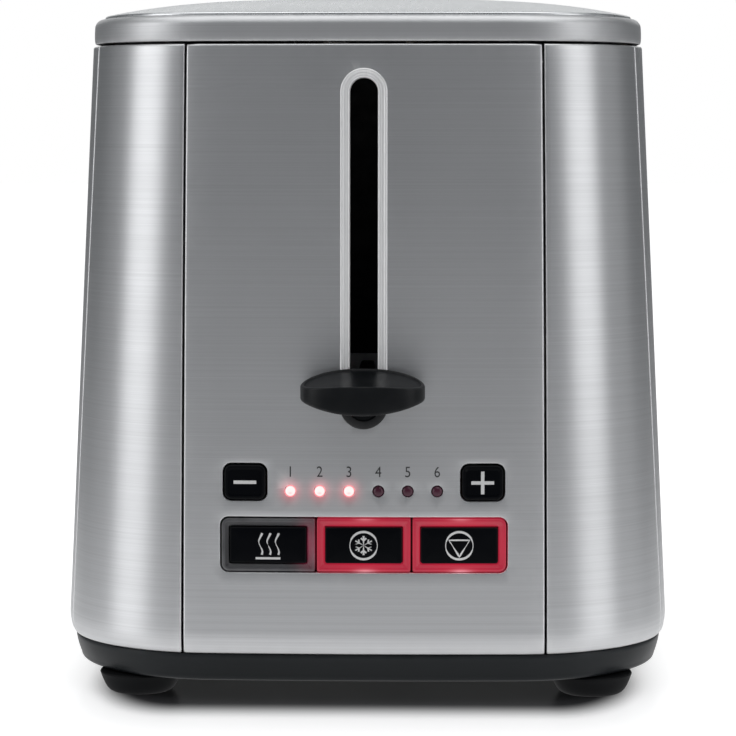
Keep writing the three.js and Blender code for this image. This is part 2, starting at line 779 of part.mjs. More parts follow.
// A guard of upright wires between two rails: a sheet with tall windows.
function breadGuard() {
  const half = guardWire / 2;
  const front = slotMiddle - slotLength / 2 + 2;
  const rear = slotMiddle + slotLength / 2 - 2;
  const bottom = rackLevel + 12;
  const top = plateBottom - collarDrop - 4;
  const pitch = (rear - front - guardWire) / (guardBars - 1);
  const windows = [];
  for (let i = 0; i < guardBars - 1; i++) {
    const near = front + guardWire + i * pitch;
    windows.push(boxBetween([-5, near, bottom + guardWire], [5, near + pitch - guardWire, top - guardWire]));
  }
  return boxBetween([-half, front, bottom], [half, rear, top]).subtract(joined(windows));
}

// A mica card between the chassis plates, with notches along its edges for the winding.
function heaterCard() {
  const front = frontPlate + 1.5;
  const rear = rearPlate - chassisThick - 1.5;
  const bottom = rackLevel + 10;
  const top = plateBottom - collarDrop - 6;
  const card = boxBetween([-heaterThick / 2, front, bottom], [heaterThick / 2, rear, top]);
  const notches = [];
  const count = 8;
  for (let i = 0; i < count; i++) {
    const z = bottom + ((i + 0.5) * (top - bottom)) / count;
    for (const y of [front, rear]) notches.push(boxBetween([-5, y - 2, z - 1], [5, y + 2, z + 1]));
  }
  return card.subtract(joined(notches));
}

function heatShield(side) {
  const front = frontPlate + fitGap;
  const rear = rearPlate - chassisThick - fitGap;
  const x = side * shieldSpacing;
  const plate = boxBetween([x - 0.4, front, chassisBottom], [x + 0.4, rear, chassisTop - 4]);
  const lipEnds = [x, x + side * 5].sort((a, b) => a - b);
  const lip = boxBetween([lipEnds[0], front, chassisTop - 4.8], [lipEnds[1], rear, chassisTop - 4]);
  return plate.add(lip);
}

// Three iron legs on a yoke, poles up.
function magnetCore() {
  const y = magnetPlace();
  const half = coreWidth / 2;
  const bottom = coreTop - coreHeight;
  const yoke = boxBetween([-half, y - coreDepth / 2, bottom], [half, y + coreDepth / 2, bottom + 5]);
  const legs = [-1, 0, 1].map((place) => {
    const x = place * (half - coreLeg / 2);
    const low = [x - coreLeg / 2, y - coreDepth / 2, bottom + 4];
    return boxBetween(low, [x + coreLeg / 2, y + coreDepth / 2, coreTop]);
  });
  return joined([yoke, ...legs]);
}

function magnetCoil() {
  const y = magnetPlace();
  const innerX = coreLeg / 2 + fitGap;
  const innerY = coreDepth / 2 + fitGap;
  const outerX = coreWidth / 2 - coreLeg - fitGap;
  const outerY = innerY + outerX - innerX;
  const bottom = coreTop - coreHeight + 5 + fitGap;
  const top = coreTop - 3;
  const shape = roundedRectangle(0, y, 2 * outerX, 2 * outerY, 1.5);
  const hole = boxBetween([-innerX, y - innerY, 0], [innerX, y + innerY, reach]);
  return prism(shape, bottom, top).subtract(hole);
}

function armaturePlate() {
  const y = magnetPlace();
  const half = coreWidth / 2 - 1;
  const low = [-half, y - coreDepth / 2, coreTop + fitGap];
  return boxBetween(low, [half, carriageFront - fitGap, coreTop + fitGap + 2]);
}

// A grommet for the mains lead, its axis along Y, flange outside the rear panel.
function cordGland() {
  const profile = [
    [glandBore, -glandTail],
    [glandNeck, -glandTail],
    [glandNeck, fitGap],
    [glandFlange, fitGap],
    [glandFlange, 2],
    [glandNeck, glandReach],
    [glandBore, glandReach],
    [glandBore, -glandTail],
  ];
  return turned(profile, 20, -Math.PI / 2);
}

function rearPanel(shell) {
  const hole = circle(glandAcross, glandLevel, glandNeck + fitGap);
  return endPanel(shell, 1).subtract(slab(hole, -cutReach, cutReach, rearFace.matrix, 8));
}

const toaster = new THREE.Group();
const frontReach = bodyLength / 2 + knobReach;
const rearReach = bodyLength / 2 + glandReach;
toaster.position.y = (frontReach - rearReach) / 2;
toaster.add(frontFace, rearFace);

function addPart(name, solid, finish, parent = toaster, place = [0, 0, 0]) {
  const [color, roughness, metalness] = finishes[finish];
  const material = new THREE.MeshStandardMaterial({ color, roughness, metalness });
  const mesh = new THREE.Mesh(geometryOf(solid), material);
  mesh.name = name;
  mesh.position.set(...place);
  parent.add(mesh);
  return mesh;
}

function addCovers() {
  const shell = bodyShell();
  addPart("front_panel", frontPanel(shell), "steel");
  addPart("rear_panel", rearPanel(shell), "steel");
  for (const [side, sideX] of [["left", -1], ["right", 1]]) {
    addPart(`side_panel_${side}`, sidePanel(shell, sideX), "steel");
    addPart(`front_corner_${side}`, cornerCover(shell, sideX, -1), "steel");
    addPart(`rear_corner_${side}`, cornerCover(shell, sideX, 1), "steel");
  }
  addPart("lid_rim", lidRim(), "lidSteel");
  addPart("lid_plate", lidPlate(), "lidSteel");
}

function addBase() {
  addPart("base", base(), "darkPlastic");
  for (const [corner, x, y] of footPlaces()) {
    addPart(`foot_${corner}`, foot(), "rubber", toaster, [x, y, 0]);
    addPart(`foot_screw_${corner}`, footScrew(), "zinc", toaster, [x, y, 0]);
  }
  addPart("crumb_tray", crumbTray(), "zinc");
  addPart("crumb_tray_handle", trayHandle(), "darkPlastic");
  addPart("cord_gland", cordGland(), "rubber", rearFace, [glandAcross, 0, glandLevel]);
}

function addControls() {
  addPart("lever_slot_trim", leverSlotTrim(), "trim", frontFace);
  addPart("button_carrier", buttonCarrier(), "darkPlastic", frontFace);
  addPart("control_board", controlBoard(), "board", frontFace);
  const litCount = 3;
  ledPlaces().forEach((x, i) => {
    addPart(`led_${i + 1}`, indicator(), i < litCount ? "ledLit" : "ledDark", frontFace, [x, 0, ledHeight]);
  });
  const dialCap = buttonCap(dialButtonWidth, dialButtonHeight);
  addPart("button_minus", dialCap, "gloss", frontFace, [-dialButtonOffset, 0, dialButtonLevel]);
  addPart("button_plus", dialCap, "gloss", frontFace, [dialButtonOffset, 0, dialButtonLevel]);
  ["reheat", "defrost", "stop"].forEach((name, i) => {
    const place = [functionPlaces()[i], 0, functionLevel];
    addPart(`button_${name}`, buttonCap(capWidth, capHeight), "gloss", frontFace, place);
    addPart(`light_frame_${name}`, lightFrame(), i ? "frameLit" : "frameDark", frontFace, place);
  });
}

function addLever() {
  addPart("lever_knob", leverKnob(), "gloss");
  addPart("lever_arm", leverArm(), "zinc");
  addPart("carriage", carriage(), "zinc");
  addPart("armature_plate", armaturePlate(), "iron");
  addPart("bread_rack_left", breadRack(wellOffsets[0]), "zinc");
  addPart("bread_rack_right", breadRack(wellOffsets[1]), "zinc");
  addPart("guide_rod", guideRod(), "wire");
  addPart("carriage_spring", carriageSpring(), "wire", toaster, [-rodOffset, rodPlace, 0]);
}

function addInsides() {
  addPart("chassis_front_plate", frontChassis(), "zinc");
  addPart("chassis_rear_plate", chassisPlate(rearPlate, []), "zinc");
  addPart("magnet_core", magnetCore(), "iron");
  addPart("magnet_coil", magnetCoil(), "copper");
  addPart("heater_left", heaterCard(), "mica", toaster, [-heaterSpacing, 0, 0]);
  addPart("heater_centre", heaterCard(), "mica");
  addPart("heater_right", heaterCard(), "mica", toaster, [heaterSpacing, 0, 0]);
  addPart("heat_shield_left", heatShield(-1), "zinc");
  addPart("heat_shield_right", heatShield(1), "zinc");
  const wells = [["left", -1], ["right", 1]];
  for (const [well, wellSide] of wells) {
    for (const [place, guardSide] of [["outer", wellSide], ["inner", -wellSide]]) {
      const x = (wellSide * slotSpacing) / 2 + guardSide * guardClosed;
      addPart(`bread_guard_${well}_${place}`, breadGuard(), "wire", toaster, [x, 0, 0]);
    }
  }
}

addCovers();
addBase();
addControls();
addLever();
addInsides();

export default toaster;
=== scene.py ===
import math
import bpy
import bmesh
import numpy as np
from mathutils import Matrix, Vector
from mathutils.geometry import delaunay_2d_cdt


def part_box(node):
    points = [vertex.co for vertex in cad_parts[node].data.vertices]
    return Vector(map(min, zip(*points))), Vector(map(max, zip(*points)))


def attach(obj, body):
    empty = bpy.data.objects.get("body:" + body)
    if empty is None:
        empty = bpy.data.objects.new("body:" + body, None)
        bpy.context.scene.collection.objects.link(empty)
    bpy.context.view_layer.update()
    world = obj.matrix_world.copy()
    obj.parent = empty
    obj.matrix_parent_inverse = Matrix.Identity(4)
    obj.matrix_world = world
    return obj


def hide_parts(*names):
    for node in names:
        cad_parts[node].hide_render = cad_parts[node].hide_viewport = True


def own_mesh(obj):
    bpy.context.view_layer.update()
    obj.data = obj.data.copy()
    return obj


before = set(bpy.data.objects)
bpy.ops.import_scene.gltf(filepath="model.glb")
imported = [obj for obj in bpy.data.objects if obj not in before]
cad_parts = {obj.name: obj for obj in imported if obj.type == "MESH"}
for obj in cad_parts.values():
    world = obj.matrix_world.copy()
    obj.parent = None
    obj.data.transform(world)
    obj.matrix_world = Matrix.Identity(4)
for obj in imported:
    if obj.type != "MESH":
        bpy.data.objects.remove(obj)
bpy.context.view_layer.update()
print("frame loaded:", len(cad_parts), "nodes")

mm = 0.001


# general shape helpers
def middle(node):
    low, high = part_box(node)
    return (low + high) / 2


# Puts a new object with some data into the scene.
def addObject(name, data):
    made = bpy.data.objects.new(name, data)
    bpy.context.scene.collection.objects.link(made)
    return made


# Makes a mesh a finished piece: smooth with sharp edges kept, painted, attached to its body, with the CAD
# nodes it replaces hidden.
def finishPiece(mesh, name, material, body, replaced=(), sharp=48):
    piece = addObject(name, mesh)
    mesh.materials.clear()
    mesh.materials.append(material)
    mesh.shade_smooth()
    mesh.set_sharp_from_angle(angle=math.radians(sharp))
    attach(piece, body)
    if replaced:
        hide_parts(*replaced)
    return piece


# A mesh from an array of points and one of faces that index them.
def meshOf(name, points, faces):
    mesh = bpy.data.meshes.new(name)
    mesh.from_pydata(np.asarray(points, float).reshape(-1, 3), [], np.asarray(faces).tolist())
    mesh.validate()
    mesh.update()
    return mesh


# Quads of a grid whose points are numbered row by row; its rows and its columns can each close on themselves.
def gridFaces(rows, columns, closeRows=False, closeColumns=False, start=0):
    r = np.arange(rows if closeRows else rows - 1)
    c = np.arange(columns if closeColumns else columns - 1)
    r, c = (side.ravel() for side in np.meshgrid(r, c, indexing="ij"))
    r2, c2 = (r + 1) % rows, (c + 1) % columns
    return np.stack([r * columns + c, r * columns + c2, r2 * columns + c2, r2 * columns + c], 1) + start


# Joins point grids into one mesh, welds what meets and turns all faces outwards.
def meshOfGrids(name, grids, weld=2e-6, recalc=True):
    points, faces, start = [], [], 0
    for grid, closeRows, closeColumns in grids:
        rows, columns = grid.shape[:2]
        points.append(grid.reshape(-1, 3))
        faces.append(gridFaces(rows, columns, closeRows, closeColumns, start))
        start += rows * columns
    return cleaned(meshOf(name, np.concatenate(points), np.concatenate(faces)), weld, recalc)


# Welds points closer than a distance and, if asked, turns all faces outwards.
def cleaned(mesh, weld=2e-6, recalc=True):
    work = bmesh.new()
    work.from_mesh(mesh)
    bmesh.ops.remove_doubles(work, verts=work.verts, dist=weld)
    bmesh.ops.dissolve_degenerate(work, dist=weld / 2, edges=work.edges)
    if recalc:
        bmesh.ops.recalc_face_normals(work, faces=work.faces)
    work.to_mesh(mesh)
    work.free()
    mesh.update()
    return mesh


# Puts several meshes into one and drops the old ones.
def joinedMesh(name, meshes):
    work = bmesh.new()
    for mesh in meshes:
        work.from_mesh(mesh)
        bpy.data.meshes.remove(mesh)
    whole = bpy.data.meshes.new(name)
    work.to_mesh(whole)
    work.free()
    return whole


# Gives a sheet its wall, inwards from the surface that was drawn.
def solidify(piece, thick, offset=-1.0):
    modifier = piece.modifiers.new("wall", "SOLIDIFY")
    modifier.thickness = thick
    modifier.offset = offset
    modifier.use_even_offset = False
    return piece


# A rounded rectangle walked anticlockwise from its lower right: four arcs of equally many points. The radius
# is one number, or one for each corner in that order.
def roundedLoop(x, y, width, height, radius, steps=8):
    turn = np.linspace(0, math.pi / 2, steps + 1)
    signs = np.array([[1, -1], [1, 1], [-1, 1], [-1, -1]], float)
    start = np.array([-math.pi / 2, 0, math.pi / 2, math.pi])
    radius = np.broadcast_to(radius, 4)[:, None].astype(float)
    centre = signs * (np.array([width / 2, height / 2]) - radius)
    angle = start[:, None] + turn[None, :]
    loop = centre[:, None, :] + radius[..., None] * np.stack([np.cos(angle), np.sin(angle)], -1)
    return loop.reshape(-1, 2) + np.array([x, y])


# An upright slot with round ends, walked anticlockwise.
def stadiumLoop(half, bottom, top, steps=20):
    turn = np.linspace(0, math.pi, steps + 1)
    upper = np.stack([half * np.cos(turn), top - half + half * np.sin(turn)], -1)
    lower = np.stack([-half * np.cos(turn), bottom + half - half * np.sin(turn)], -1)
    return np.concatenate([upper, lower])


# A circle walked anticlockwise.
def circleLoop(x, y, radius, steps=32):
    turn = np.linspace(0, 2 * math.pi, steps, endpoint=False)
    return np.stack([x + radius * np.cos(turn), y + radius * np.sin(turn)], -1)


# Puts extra points on the straight stretches of a loop, so that none is longer than a step.
def denser(loop, step):
    following = np.roll(loop, -1, 0)
    count = np.maximum(1, np.ceil(np.linalg.norm(following - loop, axis=1) / step)).astype(int)
    index = np.repeat(np.arange(len(loop)), count)
    share = np.concatenate([np.arange(n) / n for n in count])
    return loop[index] + (following - loop)[index] * share[:, None]


# True for points inside a loop: a ray to the right crosses it an odd number of times.
def insideLoop(points, loop):
    x, y = points[:, 0][:, None], points[:, 1][:, None]
    ax, ay = loop[:, 0][None], loop[:, 1][None]
    bx, by = np.roll(loop[:, 0], -1)[None], np.roll(loop[:, 1], -1)[None]
    spans = (ay > y) != (by > y)
    with np.errstate(divide="ignore", invalid="ignore"):
        cross = ax + (y - ay) * (bx - ax) / (by - ay)
    return (spans & (x < cross)).sum(1) % 2 == 1


# A flat triangle sheet inside an outline, open at its holes, with points on a square net between them.
def sheetWithHoles(outline, holes, step):
    loops = [outline, *holes]
    low, high = outline.min(0), outline.max(0)
    across, up = (np.arange(low[i] + step / 2, high[i], step) for i in (0, 1))
    net = np.stack(np.meshgrid(across, up), -1).reshape(-1, 2)
    keep = insideLoop(net, outline)
    edge = np.concatenate(loops)
    near = np.linalg.norm(net[:, None] - edge[None], axis=2).min(1) < step * 0.4
    for hole in holes:
        keep &= ~insideLoop(net, hole)
    net = net[keep & ~near]
    points, edges, start = [], [], 0
    for loop in loops:
        points.append(loop)
        ring = np.arange(len(loop)) + start
        edges.extend(np.stack([ring, np.roll(ring, -1)], 1).tolist())
        start += len(loop)
    points = np.concatenate([*points, net])
    made = delaunay_2d_cdt([Vector(p) for p in points / mm], edges, [], 0, 1e-5)
    flat = np.array(made[0]) * mm
    faces = np.array([f for f in made[2] if len(f) == 3])
    centre = flat[faces].mean(1)
    wanted = insideLoop(centre, outline)
    for hole in holes:
        wanted &= ~insideLoop(centre, hole)
    return flat, faces[wanted]


# A tube: a circle carried along a path, its frame turned as little as possible from point to point.
def tubeGrid(path, radius, sides=10, closed=False):
    path = np.asarray(path, float)
    ahead = np.roll(path, -1, 0) - np.roll(path, 1, 0)
    if not closed:
        ahead[0], ahead[-1] = path[1] - path[0], path[-1] - path[-2]
    ahead /= np.linalg.norm(ahead, axis=1)[:, None]
    side = np.cross(ahead, [0.137, 0.211, 0.968])
    weak = np.linalg.norm(side, axis=1) < 0.2
    side[weak] = np.cross(ahead[weak], [0.9, 0.1, 0.05])
    side /= np.linalg.norm(side, axis=1)[:, None]
    up = np.cross(ahead, side)
    turn = np.linspace(0, 2 * math.pi, sides, endpoint=False)
    ring = np.cos(turn)[None, :, None] * side[:, None] + np.sin(turn)[None, :, None] * up[:, None]
    grid = path[:, None, :] + radius * ring
    if closed:
        return grid
    ends = [np.repeat(path[:1, None], sides, 1), np.repeat(path[-1:, None], sides, 1)]
    return np.concatenate([ends[0], grid, ends[1]], 0)


# A body of revolution: a profile of radius and height turned about the vertical, poles closed on the axis.
def turnedGrid(profile, x, y, segments=64):
    profile = np.asarray(profile, float)
    turn = np.linspace(0, 2 * math.pi, segments, endpoint=False)
    ring = np.stack([np.cos(turn), np.sin(turn), np.zeros(segments)], -1)
    level = np.stack(np.broadcast_arrays(x, y, profile[:, 1]), -1)
    return profile[:, 0][:, None, None] * ring[None] + level[:, None, :]


# the steel body's form, read back from the covers in the frame
bodyForm = {
    "cornerWide": 42.4 * mm,
    "cornerDeep": 44 * mm,
    "endBow": 1.0 * mm,
    "sideBow": 0.8 * mm,
    "sideLean": 0.0494,
    "endLean": 0.031,
    "curlHeight": 6.0 * mm,
    "curlDepth": 1.5 * mm,
    "seam": 0.6 * mm,
}
frontLow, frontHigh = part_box("front_panel")
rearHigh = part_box("rear_panel")[1]
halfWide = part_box("side_panel_right")[1].x
halfLong = (rearHigh.y - frontLow.y) / 2
centreY = (rearHigh.y + frontLow.y) / 2
shellBottom, shellTop = frontLow.z, frontHigh.z
curlTop = shellBottom + bodyForm["curlHeight"]


# One quarter of the plan outline from the middle of the front to the middle of the right side: a shallow bow,
# an elliptical corner that starts and ends on the bows' own slopes, and another shallow bow.
def quarterCurve():
    wide, deep = bodyForm["cornerWide"], bodyForm["cornerDeep"]
    endBow, sideBow = bodyForm["endBow"], bodyForm["sideBow"]
    cx, cy = halfWide - sideBow - wide, halfLong - endBow - deep
    x1 = np.linspace(0, cx, 200)
    y1 = -(cy + deep) - endBow * (1 - (x1 / cx) ** 2)
    phi = np.linspace(0, math.pi / 2, 601)[1:]
    s, c = np.sin(phi), np.cos(phi)
    x2 = cx + wide * s + 2 * sideBow / cy * deep * c * (1 - c)
    y2 = -(cy + deep * c) + 2 * endBow / cx * wide * s * (1 - s)
    y3 = np.linspace(-cy, 0, 300)[1:]
    x3 = cx + wide + sideBow * (1 - (y3 / cy) ** 2)
    x, y = np.concatenate([x1, x2, x3]), np.concatenate([y1, y2, y3])
    along = np.concatenate([[0], np.cumsum(np.hypot(np.diff(x), np.diff(y)))])
    return x, y, along


quarterX, quarterY, quarterAlong = quarterCurve()
quarter = quarterAlong[-1]


# A point of the whole outline by its distance along it from the middle of the front, anticlockwise.
def outlineAt(q):
    q = (np.asarray(q, float) + 2 * quarter) % (4 * quarter) - 2 * quarter
    back = np.abs(q) > quarter
    a = np.where(back, 2 * quarter - np.abs(q), np.abs(q))
    x = np.interp(a, quarterAlong, quarterX) * np.where(q < 0, -1, 1)
    y = np.interp(a, quarterAlong, quarterY) * np.where(back, -1, 1)
    return x, y


# The distance along the first quarter of the outline at which it passes an X, or a Y.
def alongAtX(x):
    return np.interp(x, quarterX, quarterAlong)


def alongAtY(y):
    return np.interp(y, quarterY, quarterAlong)


# How far the wall has leaned in, or curled in near its foot, at a height.
def wallInset(z, lean):
    z = np.clip(z, shellBottom, shellTop)
    share = np.clip((curlTop - z) / bodyForm["curlHeight"], 0, 1)
    curl = bodyForm["curlDepth"] * (1 - np.sqrt(1 - share ** 2))
    return np.where(z >= curlTop, lean * (z - curlTop), curl)


# A point of the wall: the outline at a distance along it, drawn in by the lean, then moved in by a depth.
def wallPoint(q, z, depth=0.0):
    q, z, depth = np.broadcast_arrays(q, z, depth)
    sx = 1 - wallInset(z, bodyForm["sideLean"]) / halfWide
    sy = 1 - wallInset(z, bodyForm["endLean"]) / halfLong
    x, y = outlineAt(q)
    xa, ya = outlineAt(q - 0.2 * mm)
    xb, yb = outlineAt(q + 0.2 * mm)
    nx, ny = (yb - ya) * sy, -(xb - xa) * sx
    length = np.hypot(nx, ny)
    return np.stack([x * sx - nx / length * depth, y * sy - ny / length * depth + centreY, z + 0 * q], -1)


# The end wall's Y at a place on it, on the front or on the rear.
def endWallY(x, z, side=-1):
    sx = 1 - wallInset(z, bodyForm["sideLean"]) / halfWide
    sy = 1 - wallInset(z, bodyForm["endLean"]) / halfLong
    y = np.interp(np.abs(x) / sx, quarterX, quarterY) * sy
    return centreY + (y if side < 0 else -y)


leanAngle = math.atan(bodyForm["endLean"])


# A place on the leaning, slightly bowed front: across, up along the panel, and out from it.
def onFront(u, v, out, side=-1):
    u, v, out = np.broadcast_arrays(np.asarray(u, float), v, out)
    z = v * math.cos(leanAngle)
    y = endWallY(u, z, side) + side * out * math.cos(leanAngle)
    return np.stack([u, y, z + out * math.sin(leanAngle)], -1)


# A round edge as offset and depth pairs: a quarter circle of a radius, then a straight lip inwards.
def rolledEdge(radius, lip, steps=4):
    turn = np.linspace(0, math.pi / 2, steps + 1)
    offset = np.append(radius * np.sin(turn), radius)
    depth = np.append(radius * (1 - np.cos(turn)), radius + lip)
    return offset, depth


# Rings that follow a loop, each pushed sideways by its offset along the loop's own plane normal.
def ringsAlong(loop, offset, outward=True):
    ahead = np.roll(loop, -1, 0) - np.roll(loop, 1, 0)
    normal = np.stack([ahead[:, 1], -ahead[:, 0]], 1)
    normal /= np.linalg.norm(normal, axis=1)[:, None]
    sign = 1 if outward else -1
    return loop[None] + sign * offset[:, None, None] * normal[None]


# A rolled rim round a loop, as a closed grid: its rings are put in place by a function of the two flat
# coordinates and the depth.
def rolledRim(loop, roll, lip, place, outward=False, steps=4):
    offset, depth = rolledEdge(roll, lip, steps)
    rings = ringsAlong(loop, offset, outward)
    return place(rings[..., 0], rings[..., 1], depth[:, None] + 0 * rings[..., 0]), False, True


# Turns the mesh round if its faces look the wrong way from a point known to be in front of it.
def facing(mesh, direction):
    normal = np.zeros(len(mesh.polygons) * 3)
    area = np.zeros(len(mesh.polygons))
    mesh.polygons.foreach_get("normal", normal)
    mesh.polygons.foreach_get("area", area)
    if (normal.reshape(-1, 3) * area[:, None]).sum(0) @ np.array(direction, float) < 0:
        mesh.flip_normals()
    return mesh


# node groups: each gives only values, masks or heights that change over the surface
def newGroup(name, inputs, outputs):
    group = bpy.data.node_groups.new(name, "ShaderNodeTree")
    for label, kind, value in inputs:
        socket = group.interface.new_socket(label, in_out="INPUT", socket_type="NodeSocket" + kind)
        if value is not None:
            socket.default_value = value
    for label, kind in outputs:
        group.interface.new_socket(label, in_out="OUTPUT", socket_type="NodeSocket" + kind)
    tree = NodeTree(group)
    tree.inside = group.nodes.new("NodeGroupInput")
    tree.outside = group.nodes.new("NodeGroupOutput")
    return tree


# Short names for the nodes that the materials use, each giving its output socket.
class NodeTree:
    def __init__(self, tree):
        self.tree = tree

    def node(self, kind, **settings):
        made = self.tree.nodes.new("ShaderNode" + kind)
        for key, value in settings.items():
            setattr(made, key, value)
        return made

    def feed(self, socket, value):
        if isinstance(value, bpy.types.NodeSocket):
            self.tree.links.new(value, socket)
        else:
            socket.default_value = value

    def math(self, operation, a, b=0.0, clamp=False):
        made = self.node("Math", operation=operation, use_clamp=clamp)
        self.feed(made.inputs[0], a)
        self.feed(made.inputs[1], b)
        return made.outputs[0]

    def vector(self, operation, a, b=(0, 0, 0)):
        made = self.node("VectorMath", operation=operation)
        self.feed(made.inputs[0], a)
        self.feed(made.inputs[1], b)
        return made.outputs["Value" if operation in ("LENGTH", "DISTANCE") else "Vector"]

    def noise(self, where, scale, detail=2.0, roughness=0.5):
        made = self.node("TexNoise")
        self.feed(made.inputs["Vector"], where)
        self.feed(made.inputs["Scale"], scale)
        made.inputs["Detail"].default_value = detail
        made.inputs["Roughness"].default_value = roughness
        return made.outputs["Fac"]

    def spread(self, value, fromLow, fromHigh, toLow=0.0, toHigh=1.0):
        made = self.node("MapRange", clamp=True)
        for socket, number in zip(made.inputs[:5], (value, fromLow, fromHigh, toLow, toHigh)):
            self.feed(socket, number)
        return made.outputs[0]

    def smooth(self, value, fromLow, fromHigh):
        made = self.node("MapRange", interpolation_type="SMOOTHSTEP")
        for socket, number in zip(made.inputs[:3], (value, fromLow, fromHigh)):
            self.feed(socket, number)
        return made.outputs[0]

    def mix(self, share, a, b):
        made = self.node("Mix", data_type="RGBA")
        self.feed(made.inputs[0], share)
        self.feed(made.inputs[6], a)
        self.feed(made.inputs[7], b)
        return made.outputs[2]

    def use(self, group, **inputs):
        made = self.node("Group", node_tree=group)
        for label, value in inputs.items():
            self.feed(made.inputs[label], value)
        return made.outputs


# Fine scratches of a brushed sheet: noise squeezed across the stroke and drawn out along it, in two sizes.
def makeBrushGroup():
    tree = newGroup("brushStrokes", [("Place", "Vector", None), ("Squeeze", "Vector", (40, 40, 3000))],
                    [("Tone", "Float"), ("Height", "Float")])
    squeezed = tree.vector("MULTIPLY", tree.inside.outputs["Place"], tree.inside.outputs["Squeeze"])
    fine = tree.noise(squeezed, 1.0, 3.0, 0.65)
    coarse = tree.noise(squeezed, 0.28, 2.0, 0.5)
    broad = tree.noise(tree.inside.outputs["Place"], 9.0, 2.0, 0.5)
    strokes = tree.math("ADD", tree.math("MULTIPLY", fine, 0.55), tree.math("MULTIPLY", coarse, 0.35))
    tone = tree.math("ADD", strokes, tree.math("MULTIPLY", broad, 0.1))
    tree.feed(tree.outside.inputs["Tone"], tree.spread(tone, 0.3, 0.7))
    tree.feed(tree.outside.inputs["Height"], fine)
    return tree.tree


# Fine texture of a moulded plastic, with a faint slow unevenness.
def makeMouldGroup():
    tree = newGroup("mouldTexture", [("Place", "Vector", None), ("Size", "Float", 1.0)],
                    [("Tone", "Float"), ("Height", "Float")])
    fineness = tree.math("MULTIPLY", tree.inside.outputs["Size"], 2600.0)
    grain = tree.noise(tree.inside.outputs["Place"], fineness, 2.0)
    slow = tree.noise(tree.inside.outputs["Place"], 22.0, 2.0)
    tree.feed(tree.outside.inputs["Tone"], tree.spread(slow, 0.3, 0.7))
    tree.feed(tree.outside.inputs["Height"], grain)
    return tree.tree


# Brighter edges where the surface turns sharply outwards: partly wear, partly a painted highlight.
def makeEdgeGroup():
    tree = newGroup("edgeWearAndHighlight", [("Place", "Vector", None), ("Reach", "Float", 0.06)], [("Mask", "Float")])
    sharp = tree.node("NewGeometry").outputs["Pointiness"]
    wearAndHighlight = tree.spread(sharp, 0.5, tree.math("ADD", 0.5, tree.inside.outputs["Reach"]))
    broken = tree.spread(tree.noise(tree.inside.outputs["Place"], 180.0, 3.0), 0.35, 0.65, 0.45, 1.0)
    tree.feed(tree.outside.inputs["Mask"], tree.math("MULTIPLY", wearAndHighlight, broken))
    return tree.tree


# Handling marks: soft patches that dull or polish a surface a little.
def makeSmudgeGroup():
    tree = newGroup("handling", [("Place", "Vector", None), ("Scale", "Float", 30.0)], [("Amount", "Float")])
    soft = tree.noise(tree.inside.outputs["Place"], tree.inside.outputs["Scale"], 4.0, 0.6)
    tree.feed(tree.outside.inputs["Amount"], tree.spread(soft, 0.35, 0.7))
    return tree.tree


# Light round a lamp: a smooth fall-off with distance, squeezed along X where the source is long.
def makeGlowGroup():
    inputs = [("Place", "Vector", None), ("Centre", "Vector", (0, 0, 0)), ("Shape", "Vector", (1, 1, 1)),
              ("Reach", "Float", 0.003)]
    tree = newGroup("lampGlow", inputs, [("Mask", "Float")])
    apart = tree.vector("SUBTRACT", tree.inside.outputs["Place"], tree.inside.outputs["Centre"])
    length = tree.vector("LENGTH", tree.vector("MULTIPLY", apart, tree.inside.outputs["Shape"]))
    share = tree.math("DIVIDE", length, tree.inside.outputs["Reach"])
    falling = tree.math("MULTIPLY", tree.math("MULTIPLY", share, share), -1.0)
    tree.feed(tree.outside.inputs["Mask"], tree.math("POWER", math.e, falling))
    return tree.tree


brushStrokes = makeBrushGroup()
mouldTexture = makeMouldGroup()
edgeWearAndHighlight = makeEdgeGroup()
handling = makeSmudgeGroup()
lampGlow = makeGlowGroup()


# A material with one principled shader, its fixed values set on the sockets.
def startMaterial(name, metallic=0.0, **fixed):
    material = bpy.data.materials.new(name)
    material.use_nodes = True
    material.node_tree.nodes.clear()
    tree = NodeTree(material.node_tree)
    shader = tree.node("BsdfPrincipled")
    output = tree.node("OutputMaterial")
    tree.feed(output.inputs["Surface"], shader.outputs[0])
    shader.inputs["Metallic"].default_value = metallic
    for label, value in fixed.items():
        shader.inputs[label].default_value = value
    place = tree.node("TexCoord").outputs["Object"]
    return material, tree, shader, place


# Bump from a height that changes over the surface.
def addBump(tree, shader, height, strength, distance):
    bump = tree.node("Bump")
    bump.inputs["Strength"].default_value = strength
    bump.inputs["Distance"].default_value = distance
    tree.feed(bump.inputs["Height"], height)
    tree.feed(shader.inputs["Normal"], bump.outputs[0])


